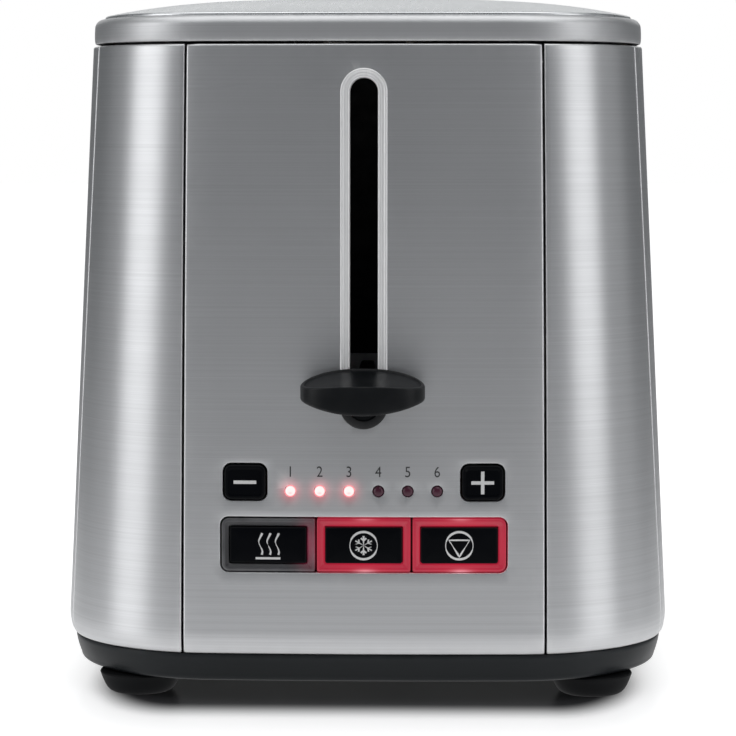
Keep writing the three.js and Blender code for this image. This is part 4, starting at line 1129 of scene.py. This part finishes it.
# Rings of one rounded plan, each with a share of its size and a height from the bottom or the top surface.
def makeKnob():
    turn = np.linspace(0, 2 * math.pi, 120, endpoint=False)
    c, s = np.cos(turn), np.sin(turn)
    planX = knobHalfX * np.sign(c) * np.abs(c) ** (2 / knobForm["power"])
    planY = knobHalfY * s
    rim, dish = knobForm["rim"], knobForm["dish"]
    arc = np.linspace(0, math.pi / 2, 7)
    rings = [(0.0, 0, 0.0), (0.5, 0, 0.0), (0.85, 0, 0.0)]
    rings += [(0.955 + 0.045 * math.sin(a), 0, 0.9 * mm * (1 - math.cos(a))) for a in arc]
    rings += [(1.0, 0.5, 0.0)]
    rings += [(1.0 - 0.022 * (1 - math.cos(a)), 1, -rim * (1 - math.sin(a))) for a in arc]
    rings += [(0.955, 1, 0.0), (0.945, 1, -0.08 * mm), (0.935, 1, -dish * 0.8), (0.92, 1, -dish),
              (0.85, 1, -dish), (0.5, 1, -dish * 1.2), (0.0, 1, -dish * 1.3)]
    rows = []
    for size, level, lift in rings:
        x, y = planX * size, knobY + planY * size
        z = (1 - level) * knobBottom(x) + level * knobTop(x, y) + lift
        rows.append(np.stack([x, y, z], -1))
    mesh = meshOfGrids("knob", [(np.stack(rows), False, True)])
    finishPiece(mesh, "leverKnob", paint["knobPlastic"], "lever_carriage", ["lever_knob"],
                sharp=60)


# A block with rounded edges, built of rings of one outline, each inset and set at a depth. The place function
# puts it where it belongs, and both ends close on their middles.
def ringedBlock(name, loopAt, profile, place):
    rows = [place(*loopAt(inset).T, out) for inset, out in profile]
    first, last = loopAt(profile[0][0]).mean(0), loopAt(profile[-1][0]).mean(0)
    count = rows[0].shape[0]
    head = np.repeat(place(first[0], first[1], profile[0][1]).reshape(1, 3), count, 0)
    tail = np.repeat(place(last[0], last[1], profile[-1][1]).reshape(1, 3), count, 0)
    return meshOfGrids(name, [(np.stack([head, *rows, tail]), False, True)])


# Profile of a moulded edge: straight side, then a quarter round of a radius, then a flat support ring.
def roundShoulder(back, out, radius, steps=5):
    turn = np.linspace(0, math.pi / 2, steps + 1)
    inset = radius * (1 - np.cos(turn))
    level = out - radius * (1 - np.sin(turn))
    return [(0.0, back), (0.0, back + (out - back) * 0.5), *zip(inset, level), (radius + 0.25 * mm, out)]


# The stem behind the knob, the dark collar that hides the slot behind it and also stands in for the shade the
# knob throws on the trim's lower end, and the flat arm that passes the slot.
def makeStem():
    armLow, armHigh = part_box("lever_arm")
    armMiddle = (armLow + armHigh) / 2
    wallAtArm = float(endWallY(0, armMiddle.z))
    back, front = wallAtArm - 1.1 * mm, knobHigh.y - 3.5 * mm

    def sleevePlace(x, z, out):
        return np.stack(np.broadcast_arrays(x, out, z), -1)

    def blockLoop(half, tall, radius):
        return lambda inset: roundedLoop(0, armMiddle.z, 2 * (half - inset), tall - 2 * inset, radius)

    sleeveLoop = blockLoop(knobForm["stemHalf"], knobForm["stemTall"], 2 * mm)
    bevel = 0.3 * mm
    sleeveProfile = [(bevel, front), (0, front), (0, back), (bevel, back)]
    sleeve = ringedBlock("stem", sleeveLoop, sleeveProfile, sleevePlace)
    thick, size = knobForm["collarThick"], knobForm["collar"]
    middleUp = trimLow.z + trimHalf

    def collarLoop(inset):
        top = armMiddle.z + knobForm["stemTall"] / 2
        return stadiumLoop(size - inset, middleUp - size + inset, top - inset)

    def collarPlace(x, z, out):
        return np.stack(np.broadcast_arrays(x, endWallY(0, z) - 1.0 * mm - out, z), -1)

    edge, groove = 0.4 * mm, 0.5 * mm
    collarProfile = [(edge, 0), (0, 0.1 * mm), (0, thick - edge), (0.12 * mm, thick - 0.12 * mm),
                     (edge, thick), (2.2 * mm, thick), (2.6 * mm, thick - groove), (3.0 * mm, thick - groove)]
    collar = ringedBlock("stem", collarLoop, collarProfile, collarPlace)
    mesh = joinedMesh("stem", [sleeve, collar])
    finishPiece(mesh, "leverStem", paint["knobPlastic"], "lever_carriage", sharp=50)
    armLoop = blockLoop(knobForm["armHalf"], armHigh.z - armLow.z, 0.9 * mm)
    armProfile = [(edge, back), (0, back + edge), (0, armHigh.y - edge), (edge, armHigh.y)]
    arm = ringedBlock("arm", armLoop, armProfile, sleevePlace)
    sheet = paint["paintedShadeSheet"]
    finishPiece(arm, "leverArm", sheet, "lever_carriage", ["lever_arm"], sharp=50)


makeKnob()
makeStem()
print("lever made")


# Strokes printed on a surface: each path is a line with round ends, flattened so that it stands barely proud.
def printedStrokes(name, paths, width, place, material, body):
    grids = []
    for path, closed in paths:
        path = np.asarray(path, float)
        line = np.column_stack([path, np.zeros(len(path))])
        grid = tubeGrid(line, width / 2, 8, closed)
        grids.append((place(grid[..., 0], grid[..., 1], grid[..., 2] * 0.22), closed, True))
    return finishPiece(meshOfGrids(name, grids), name, material, body, sharp=60)


# the five push buttons
buttonForm = {
    "edgeRound": 0.55 * mm,
    "ridge": 0.9 * mm,
    "sink": 0.22 * mm,
    "signLength": 6.4 * mm,
    "signWidth": 1.0 * mm,
    "symbolWidth": 0.66 * mm,
    "symbolRadius": 3.85 * mm,
}


# A button's cap: rings of a rounded rectangle on the panel, set back and out by a profile.
def makeButton(node, x, level, size, body, profile, corner):
    def loopAt(inset):
        radius = max(corner - inset, 0.3 * mm)
        return roundedLoop(x, level, size[0] - 2 * inset, size[1] - 2 * inset, radius, 6)

    mesh = ringedBlock(node, loopAt, profile, onFront)
    finishPiece(mesh, node + "_cap", paint["buttonPlastic"], body, [node], sharp=50)


proud, deep = controlForm["proud"], controlForm["capDeep"]
rounding, ridge, sink = buttonForm["edgeRound"], buttonForm["ridge"], buttonForm["sink"]
dialProfile = [*roundShoulder(-deep, proud, rounding), (ridge, proud), (ridge + 0.3 * mm, proud - sink),
               (ridge + 0.6 * mm, proud - sink), (ridge + 1.6 * mm, proud - sink)]
capProfile = [*roundShoulder(-deep, proud - 0.15 * mm, 0.35 * mm), (1.2 * mm, proud - 0.1 * mm),
              (3.2 * mm, proud - 0.05 * mm)]
dialFace, capFace = proud - sink, proud - 0.12 * mm
half = buttonForm["signLength"] / 2
for node, x, upright in (("button_minus", minusMiddle.x, False), ("button_plus", plusMiddle.x, True)):
    makeButton(node, x, dialLevel, dialSize, node, dialProfile, controlForm["round"])
    bar = np.array([[-half, 0], [-half / 3, 0], [half / 3, 0], [half, 0]])
    strokes = [(bar + [x, dialLevel], False)]
    if upright:
        strokes.append((bar[:, ::-1] + [x, dialLevel], False))
    printedStrokes(node + "_sign", strokes, buttonForm["signWidth"],
                   lambda u, v, w: onFront(u, v, dialFace + w),
                   paint["symbolInk"], node)


# three rising waves over a bar
def heatStrokes(x, level):
    share = np.linspace(0, 1, 25)
    paths = [(np.array([[-3.5, -3.75], [-1.2, -3.75], [1.2, -3.75], [3.5, -3.75]]) * mm + [x, level], False)]
    for offset in (-2.35, 0, 2.35):
        swing = (offset + 0.25 + 0.5 * np.sin(2 * math.pi * (share * 1.08 + 0.1))) * mm
        height = (-2.75 + 6.1 * share) * mm
        paths.append((np.stack([x + swing, level + height], 1), False))
    return paths


# six arms with two pairs of twigs each, inside a ring
def snowStrokes(x, level):
    radius = buttonForm["symbolRadius"]
    paths = [(circleLoop(x, level, radius, 48), True)]
    for turn in np.arange(6) * math.pi / 3 + math.pi / 2:
        ahead = np.array([math.cos(turn), math.sin(turn)])
        paths.append((np.outer([0.0, 0.35, 0.7], ahead) * radius + [x, level], False))
        for lean in (-0.85, 0.85):
            twig = np.array([math.cos(turn + lean), math.sin(turn + lean)])
            root = ahead * radius * 0.36
            path = root + np.outer([0.0, 0.13, 0.27], twig) * radius
            paths.append((path + [x, level], False))
    return paths


# a triangle on its point inside a ring
def stopStrokes(x, level):
    radius = buttonForm["symbolRadius"]
    corners = np.array([[-0.76, 0.40], [0.76, 0.40], [0.0, -0.80]]) * radius + [x, level]
    return [(circleLoop(x, level, radius, 48), True), (denser(corners, 0.9 * mm), True)]


for name, x, strokesOf in zip(functionNames, functionAcross, (heatStrokes, snowStrokes, stopStrokes)):
    node = "button_" + name
    makeButton(node, x, functionLevel, capSize, node, capProfile, 0.6 * mm)
    printedStrokes(node + "_symbol", strokesOf(x, functionLevel), buttonForm["symbolWidth"],
                   lambda u, v, w: onFront(u, v, capFace + w), paint["symbolInk"], node)


# the translucent frames that light up round the three function buttons
frameForm = {
    "section": [(0.0, -4.5), (0.0, -0.1), (0.1, 0.12), (0.3, 0.22), (1.0, 0.2), (1.15, 0.06), (1.9, -0.1),
                (2.1, -0.3), (2.12, -1.2), (2.12, -4.5)],
    "red": (0.51, 0.015, 0.042),
    "deepRed": (0.24, 0.012, 0.028),
    "hot": (1.0, 0.42, 0.48),
    "hotReach": 0.8 * mm,
    "hotOut": 0.3 * mm,
    "hotShape": (0.30, 1.0, 1.0),
    "bodyReach": 8.6 * mm,
    "bodyShape": (0.62, 1.0, 1.0),
    "base": [(0.10, 0.006, 0.012, 1), (0.16, 0.010, 0.02, 1)],
    "unlit": [(0.030, 0.030, 0.033, 1), (0.045, 0.045, 0.049, 1)],
    "unlitEdge": (0.3, 0.3, 0.31, 1),
    "leakedLight": (0.16, 0.008, 0.03, 1),
}


# A lit frame: deep red at its ends, brighter round its middle, with hot spots over and under the cap.
def litFrameMaterial(name, x):
    material, tree, shader, place = startMaterial(name, 0.0, Roughness=0.22)
    shader.inputs["Emission Strength"].default_value = 1.0
    texture = tree.use(mouldTexture, Place=place, Size=0.6)
    y = float(endWallY(x, functionLevel))
    rise = functionSize[1] / 2
    hot = None
    shape, reach = frameForm["hotShape"], frameForm["hotReach"]
    for side, share in ((1, 0.45), (-1, 1.0)):
        spot = (x + 0.4 * mm, y, functionLevel + side * (rise + frameForm["hotOut"]))
        glow = tree.use(lampGlow, Place=place, Centre=spot, Shape=shape, Reach=reach)
        part = tree.math("MULTIPLY", glow["Mask"], share)
        hot = part if hot is None else tree.math("ADD", hot, part, clamp=True)
    core = tree.use(lampGlow, Place=place, Centre=(x, y, functionLevel), Shape=frameForm["bodyShape"],
                    Reach=frameForm["bodyReach"])["Mask"]
    body = tree.mix(tree.math("MULTIPLY", core, tree.spread(texture["Tone"], 0, 1, 0.9, 1.0)),
                    (*frameForm["deepRed"], 1), (*frameForm["red"], 1))
    tree.feed(shader.inputs["Emission Color"], tree.mix(hot, body, (*frameForm["hot"], 1)))
    tree.feed(shader.inputs["Base Color"], tree.mix(texture["Tone"], *frameForm["base"]))
    return material


# The unlit frame: grey with paler edges, and a little painted red light that leaks in from its lit neighbour.
def darkFrameMaterial(name, x):
    material, tree, shader, place = startMaterial(name, 0.0, Roughness=0.25)
    shader.inputs["Emission Strength"].default_value = 1.0
    texture = tree.use(mouldTexture, Place=place, Size=0.8)
    wearAndHighlight = tree.use(edgeWearAndHighlight, Place=place, Reach=0.08)
    spot = (x + functionSize[0] / 2 - 1.5 * mm, float(endWallY(x, functionLevel)), functionLevel)
    leakedLight = tree.use(lampGlow, Place=place, Centre=spot, Shape=(1.0, 1.0, 0.5), Reach=3.2 * mm)["Mask"]
    colour = tree.mix(texture["Tone"], *frameForm["unlit"])
    colour = tree.mix(tree.math("MULTIPLY", wearAndHighlight["Mask"], 0.5), colour, frameForm["unlitEdge"])
    tree.feed(shader.inputs["Base Color"], colour)
    tree.feed(shader.inputs["Emission Color"], tree.mix(leakedLight, (0, 0, 0, 1), frameForm["leakedLight"]))
    return material


for name, x in zip(functionNames, functionAcross):
    lit = name != "reheat"
    leftRound = controlForm["round"] if name == "reheat" else 0.5 * mm
    rightRound = controlForm["round"] if name == "stop" else 0.5 * mm
    corners = np.array([rightRound, rightRound, leftRound, leftRound])
    section = np.array(frameForm["section"]) * mm
    rows = []
    for inset, out in section:
        loop = roundedLoop(x, functionLevel, functionSize[0] - 2 * inset, functionSize[1] - 2 * inset,
                           np.maximum(corners - inset, 0.35 * mm), 6)
        rows.append(onFront(loop[:, 0], loop[:, 1], out))
    mesh = meshOfGrids("frame", [(np.stack(rows), True, True)])
    material = litFrameMaterial("litFrame_" + name, x) if lit else darkFrameMaterial("darkFrame_" + name, x)
    node = "light_frame_" + name
    finishPiece(mesh, node + "_glass", material, "button_" + name, [node])
print("buttons made")


# the six small lamps and the numerals over them
lampForm = {
    "section": [(0.0, 0.62), (0.35, 0.6), (0.75, 0.5), (1.1, 0.33), (1.35, 0.08), (1.5, -0.3), (1.5, -5.0),
                (0.0, -5.0)],
    "numeralTall": 3.15 * mm,
    "numeralLevel": 65.25 * mm,
}


# A lit lamp: pale in the middle, red at its rim, and shaded a little below.
def litLampMaterial(name, x):
    material, tree, shader, place = startMaterial(name, 0.0, Roughness=0.2)
    shader.inputs["Emission Strength"].default_value = 1.15
    centre = (x, float(endWallY(x, ledLevel)), ledLevel)
    rim = tree.use(lampGlow, Place=place, Centre=centre, Reach=1.75 * mm)["Mask"]
    below = (x, centre[1], ledLevel - 0.55 * mm)
    shade = tree.use(lampGlow, Place=place, Centre=below, Shape=(1, 0.3, 1.6), Reach=0.6 * mm)
    grain = tree.use(mouldTexture, Place=place, Size=0.6)["Tone"]
    colour = tree.mix(tree.spread(rim, 0.36, 0.62), (0.85, 0.10, 0.13, 1), (1.0, 0.80, 0.78, 1))
    colour = tree.mix(tree.math("MULTIPLY", shade["Mask"], 0.45), colour, (0.7, 0.28, 0.26, 1))
    colour = tree.mix(tree.math("MULTIPLY", grain, 0.05), colour, (1, 0.5, 0.5, 1))
    tree.feed(shader.inputs["Emission Color"], colour)
    tree.feed(shader.inputs["Base Color"], tree.mix(grain, (0.2, 0.03, 0.04, 1), (0.25, 0.04, 0.05, 1)))
    return material


for i, x in enumerate(ledAcross):
    profile = np.array(lampForm["section"]) * mm
    ring = turnedGrid(profile, 0, 0, 40)
    grid = onFront(x + ring[..., 0], ledLevel + ring[..., 1], ring[..., 2])
    material = litLampMaterial(f"litLamp_{i + 1}", x) if i < 3 else paint["darkLamp"]
    finishPiece(meshOfGrids("lamp", [(grid, False, True)]), f"lamp_{i + 1}", material, "root",
                [f"led_{i + 1}"])


# A numeral as printed ink: the font's outline turned into a mesh and laid on the panel.
def makeNumeral(text, x):
    curve = bpy.data.curves.new("numeral", "FONT")
    curve.body = text
    curve.size = lampForm["numeralTall"] * 1.37
    curve.align_x = "CENTER"
    curve.offset = -0.005 * mm
    curve.extrude = 0.02 * mm
    holder = addObject("numeral", curve)
    bpy.context.view_layer.update()
    mesh = bpy.data.meshes.new_from_object(holder.evaluated_get(bpy.context.evaluated_depsgraph_get()))
    bpy.data.objects.remove(holder)
    flat = np.zeros(len(mesh.vertices) * 3)
    mesh.vertices.foreach_get("co", flat)
    flat = flat.reshape(-1, 3)
    placed = onFront(x + flat[:, 0] * 0.86, lampForm["numeralLevel"] + flat[:, 1], 0.03 * mm + flat[:, 2])
    mesh.vertices.foreach_set("co", placed.ravel())
    finishPiece(cleaned(mesh), "numeral_" + text, paint["numberInk"], "root")


for i, x in enumerate(ledAcross):
    makeNumeral(str(i + 1), x)
print("lamps made")


# wires inside the bread slots, the carriage's return spring, and the heaters
innerForm = {
    "guardWire": 0.85 * mm,
    "guardBars": 9,
    "springTurns": 38,
    "leverTravel": 82 * mm,
    "springWire": 0.55 * mm,
    "windings": 26,
    "ribbon": 1.1 * mm,
}


# A bread guard: a rounded wire frame with upright bars at even steps.
def makeGuard(node):
    low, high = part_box(node)
    x, wire = (low.x + high.x) / 2, innerForm["guardWire"]
    bottom, top, near, far = low.z + wire, high.z - wire, low.y + wire, high.y - wire
    corners = roundedLoop((near + far) / 2, (bottom + top) / 2, far - near, top - bottom, 5 * mm, 6)
    frameLine = np.column_stack([0 * corners[:, 0] + x, corners])
    grids = [(tubeGrid(frameLine, wire, 10, True), True, True)]
    for y in np.linspace(near, far, innerForm["guardBars"] + 2)[1:-1]:
        bar = np.array([[x, y, bottom], [x, y, (bottom + top) / 2], [x, y, top]])
        grids.append((tubeGrid(bar, wire * 0.85, 10), False, True))
    finishPiece(meshOfGrids("guard", grids), node + "_wires", paint["wireSteel"], node, [node])


for node in [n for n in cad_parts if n.startswith("bread_guard")]:
    makeGuard(node)


# A close coil that hangs from the chassis and is stretched while the lever is down.
def makeSpring():
    low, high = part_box("carriage_spring")
    x, y = (low.x + high.x) / 2, (low.y + high.y) / 2
    wire = innerForm["springWire"]
    radius = (high.x - low.x) / 2 - wire
    hook = 6 * mm
    turn = np.linspace(0, 2 * math.pi * innerForm["springTurns"], innerForm["springTurns"] * 20)
    z = np.linspace(low.z + hook, high.z - hook, len(turn))
    coil = np.stack([x + radius * np.cos(turn), y + radius * np.sin(turn), z], 1)
    foot = np.array([[x, y, low.z + wire], [x, y, low.z + hook * 0.6]])
    head = np.array([[x, y, high.z - hook * 0.6], [x, y, high.z - wire]])
    mesh = meshOfGrids("spring", [(tubeGrid(np.concatenate([foot, coil, head]), wire, 8), False, True)])
    piece = finishPiece(mesh, "carriageSpring", paint["wireSteel"], "root", ["carriage_spring"])
    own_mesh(piece)


makeSpring()


# A mica card wound with flat resistance wire: thin closed loops round the card at even heights.
def makeHeater(node):
    low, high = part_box(node)
    x, half = (low.x + high.x) / 2, (high.x - low.x) / 2
    card = roundedLoop((low.y + high.y) / 2, (low.z + high.z) / 2, high.y - low.y, high.z - low.z, 4 * mm, 5)

    def cardLoop(inset):
        return card

    def cardPlace(y, z, out):
        return np.stack(np.broadcast_arrays(x + out, y, z), -1)

    thick = half * 0.55
    mesh = ringedBlock("card", cardLoop, [(0, -thick), (0, thick)], cardPlace)
    finishPiece(mesh, node + "_card", paint["micaCard"], "root", [node], sharp=30)
    loop = roundedLoop(x, (low.y + high.y) / 2, 2 * half, high.y - low.y - 10 * mm, half * 0.9, 3)
    ribbon, grids = innerForm["ribbon"], []
    section = np.array([[0, 0], [0, 1], [-0.35, 1], [-0.35, 0]])
    for z in np.linspace(low.z + 6 * mm, high.z - 8 * mm, innerForm["windings"]):
        centre = loop.mean(0)
        shrink = 1 + section[:, 0][:, None, None] * np.array([0.4, 0.004])
        ring = centre + (loop - centre)[None] * shrink
        height = np.broadcast_to((z + section[:, 1] * ribbon)[:, None, None], (*ring.shape[:2], 1))
        grids.append((np.concatenate([ring, height], -1), True, True))
    windings = meshOfGrids("windings", grids)
    finishPiece(windings, node + "_windings", paint["wireSteel"], "root", sharp=40)


for node in ("heater_left", "heater_centre", "heater_right"):
    makeHeater(node)
print("inside made")


# the tray's pull: a rounded bar with a shallow dish in its face
def makeHandle():
    low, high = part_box("crumb_tray_handle")
    size = high - low

    def loopAt(inset):
        return roundedLoop((low.x + high.x) / 2, (low.z + high.z) / 2, size.x - 2 * inset, size.z - 2 * inset,
                           max(1.6 * mm - inset, 0.4 * mm), 6)

    def place(x, z, out):
        return np.stack(np.broadcast_arrays(x, low.y + out, z), -1)

    profile = [(0.3 * mm, 0), (0, 0.3 * mm), (0, size.y - 1.2 * mm), (0.35 * mm, size.y - 0.35 * mm),
               (1.2 * mm, size.y), (1.6 * mm, size.y - 0.25 * mm), (1.8 * mm, size.y - 0.35 * mm)]
    mesh = ringedBlock("handle", loopAt, profile, place)
    finishPiece(mesh, "trayHandle", paint["basePlastic"], "crumb_tray", ["crumb_tray_handle"])


# the sleeve's section, radius and reach: a ribbed neck on a flange
glandSection = np.array([
    [4.0, 0.2], [4.0, 10.7], [4.3, 11.2], [5.3, 11.3], [5.75, 10.9], [5.8, 10.1], [5.3, 9.7], [5.35, 9.1],
    [5.95, 8.8], [6.05, 7.9], [5.5, 7.5], [5.6, 6.9], [6.25, 6.6], [6.4, 5.7], [5.85, 5.3], [5.95, 4.7],
    [6.6, 4.4], [6.9, 3.4], [8.3, 3.0], [8.9, 2.6], [9.0, 2.0], [9.0, 0.6], [8.7, 0.2]]) * mm


# The sleeve: its section turned about the cord's axis, which points to the rear.
def makeGland():
    low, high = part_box("cord_gland")
    x, z = (low.x + high.x) / 2, (low.z + high.z) / 2
    ring = turnedGrid(glandSection, 0, 0, 56)
    grid = np.stack([x - ring[..., 0], low.y + ring[..., 2], z + ring[..., 1]], -1)
    mesh = meshOfGrids("gland", [(grid, True, True)])
    finishPiece(mesh, "cordSleeve", paint["basePlastic"], "root", ["cord_gland"])


makeHandle()
makeGland()

# finishes of the CAD parts that stay as they are
keptParts = {
    "zincSheet": ["carriage", "chassis_rear_plate", "heat_shield_left", "heat_shield_right", "crumb_tray"],
    "coreIron": ["armature_plate", "magnet_core"],
    "coilCopper": ["magnet_coil"],
    "wireSteel": ["bread_rack_left", "bread_rack_right", "guide_rod"],
    # the chassis plate behind the slot takes the near black sheet, a painted shade
    "paintedShadeSheet": ["chassis_front_plate"],
    "boardGreen": ["control_board"],
    "buttonPlastic": ["button_carrier"],
}
for finish, nodes in keptParts.items():
    for node in nodes:
        bpy.data.objects[node].material_slots[0].material = paint[finish]
print("kept parts painted")

# the camera, level with the upper part of the body and looking slightly down at it
viewForm = {"from": (0.0190, -0.740, 0.1650), "to": (0.00125, 0.0, 0.0961), "lens": 130.3, "sensor": 36.0}
frontY = frontLow.y
camera = addObject("camera", bpy.data.cameras.new("camera"))
camera.data.lens, camera.data.sensor_width = viewForm["lens"], viewForm["sensor"]
camera.data.clip_start, camera.data.clip_end = 0.02, 20
camera.location = Vector(viewForm["from"]) + Vector((0, frontY, 0))
looking = Vector(viewForm["to"]) + Vector((0, frontY, 0)) - camera.location
camera.rotation_euler = looking.to_track_quat("-Z", "Y").to_euler()
bpy.context.scene.camera = camera

# the stage: a pale floor with a painted contact shadow round the toaster, a soft surround, tall soft lights at
# the sides and flat ones behind and above
stageForm = {
    "floor": (0.50, 0.50, 0.505), "shaded": (0.04, 0.04, 0.043), "floorGloss": 0.28,
    # footprint, its round, side sharpness, near, far and shaded set the painted contact shadow round the
    # toaster
    "footprint": (0.054, 0.096, 0.0), "footprintRound": 0.036, "sideSharpness": (1.9, 1.0, 0.0),
    "near": (-0.003, 0.019), "far": (0.012, 0.080), "nearShare": 0.60,
    "thrownFrom": (0.13, 0.40), "thrownPale": (0.60, 0.11), "backdrop": 1.0,
    "front": (0.150, 0.157, 0.167, 1), "back": (0.135, 0.142, 0.145, 1),
    "flag": (0.05, 0.055, 0.06, 1), "flagEdge": (0.025, 0.09),
    "floorReach": 6.0,
    "lights": [  # azimuth from the front toward +X in degrees, distance, height, width, tall, power
        (-64, 1.1, 0.30, 0.56, 1.0, 3.0),
        (-95, 1.1, 0.30, 0.45, 1.0, 0.15),
        (59, 1.1, 0.30, 0.50, 1.0, 2.3),
        (92, 1.1, 0.30, 0.45, 1.0, 0.3),
        (180, 1.3, 0.62, 1.7, 0.45, 2.0),
    ],
    "top": [  # place, width, depth, power
        (0.0, 0.0, 1.05, 1.5, 0.9, 5.9),
        (-0.41, -0.75, 1.05, 0.68, 0.6, 1.75),
        (0.41, -0.75, 1.05, 0.68, 0.6, 1.75),
    ],
}
floorMesh = bpy.data.meshes.new("floor")
floorCorners = np.array([[-1, -1, 0], [1, -1, 0], [1, 1, 0], [-1, 1, 0]]) * stageForm["floorReach"]
floorMesh.from_pydata(floorCorners, [], [(0, 1, 2, 3)])
floor = addObject("floor", floorMesh)
# The floor: its colour and the glow the camera sees are darkened round the toaster's footprint as a painted
# contact shadow; other rays see a glow that fades with distance.
floorMaterial, tree, shader, place = startMaterial("floor", 0.0, Roughness=stageForm["floorGloss"])
tone = tree.noise(place, 3.0, 2.0)
away = tree.vector("LENGTH", tree.vector("MULTIPLY", place, (1.0, 0.72, 0.0)))
outside = tree.vector("SUBTRACT", tree.vector("ABSOLUTE", place), stageForm["footprint"])
outside = tree.vector("MULTIPLY", tree.vector("MAXIMUM", outside), stageForm["sideSharpness"])
outside = tree.math("SUBTRACT", tree.vector("LENGTH", outside), stageForm["footprintRound"])
near = tree.smooth(outside, *stageForm["near"])
far = tree.spread(outside, *stageForm["far"])
seenPaleBeyondShadow = tree.math("ADD", tree.math("MULTIPLY", near, stageForm["nearShare"]),
                     tree.math("MULTIPLY", far, 1.0 - stageForm["nearShare"]))
floorToneWithShadow = tree.mix(near, (*stageForm["shaded"], 1), (*stageForm["floor"], 1))
floorToneWithShadow = tree.mix(tree.math("MULTIPLY", tone, 0.02), floorToneWithShadow, (0.45, 0.45, 0.45, 1))
tree.feed(shader.inputs["Base Color"], floorToneWithShadow)
thrownPale = tree.spread(away, *stageForm["thrownFrom"], *stageForm["thrownPale"])
direct = tree.node("LightPath").outputs["Is Camera Ray"]
paleness = tree.math("ADD", tree.math("MULTIPLY", seenPaleBeyondShadow, direct),
                     tree.math("MULTIPLY", thrownPale, tree.math("SUBTRACT", 1.0, direct)))
tree.feed(shader.inputs["Emission Color"], tree.mix(paleness, (0, 0, 0, 1), (1, 1, 1, 1)))
shader.inputs["Emission Strength"].default_value = 1.0
floorMesh.materials.append(floorMaterial)

world = bpy.data.worlds.new("surround")
bpy.context.scene.world = world
world.use_nodes = True
worldTree = NodeTree(world.node_tree)
world.node_tree.nodes.clear()
seen = worldTree.node("Background")
around = worldTree.node("Background")
seen.inputs["Color"].default_value = (1, 1, 1, 1)
seen.inputs["Strength"].default_value = stageForm["backdrop"]
sky = worldTree.node("SeparateXYZ")
worldTree.feed(sky.inputs[0], worldTree.node("TexCoord").outputs["Generated"])
backward = worldTree.spread(sky.outputs["Y"], -0.3, 0.9)
around.inputs["Strength"].default_value = 1.0
besideFlag = worldTree.smooth(worldTree.math("ABSOLUTE", sky.outputs["X"]), *stageForm["flagEdge"])
ahead = worldTree.mix(besideFlag, stageForm["flag"], stageForm["front"])
worldTree.feed(around.inputs["Color"], worldTree.mix(backward, ahead, stageForm["back"]))
choose = worldTree.node("MixShader")
worldTree.feed(choose.inputs[0], worldTree.node("LightPath").outputs["Is Camera Ray"])
worldTree.feed(choose.inputs[1], around.outputs[0])
worldTree.feed(choose.inputs[2], seen.outputs[0])
worldTree.feed(worldTree.node("OutputWorld").inputs["Surface"], choose.outputs[0])


# A soft rectangular light turned to its target.
def softLight(name, place, target, width, tall, power):
    lamp = bpy.data.lights.new(name, "AREA")
    lamp.shape, lamp.size, lamp.size_y, lamp.energy = "RECTANGLE", width, tall, power
    made = addObject(name, lamp)
    made.location = place
    made.rotation_euler = (Vector(target) - Vector(place)).to_track_quat("-Z", "Y").to_euler()


for i, (azimuth, away, height, width, tall, power) in enumerate(stageForm["lights"]):
    turn = math.radians(azimuth)
    where = (away * math.sin(turn), -away * math.cos(turn), height)
    softLight(f"soft_{i}", where, (0, 0, 0.1), width, tall, power)
for i, (x, y, z, width, tall, power) in enumerate(stageForm["top"]):
    softLight(f"soft_top_{i}", (x, y, z), (x, y, 0), width, tall, power)
bpy.context.scene.view_settings.view_transform = "Standard"
print("stage made")
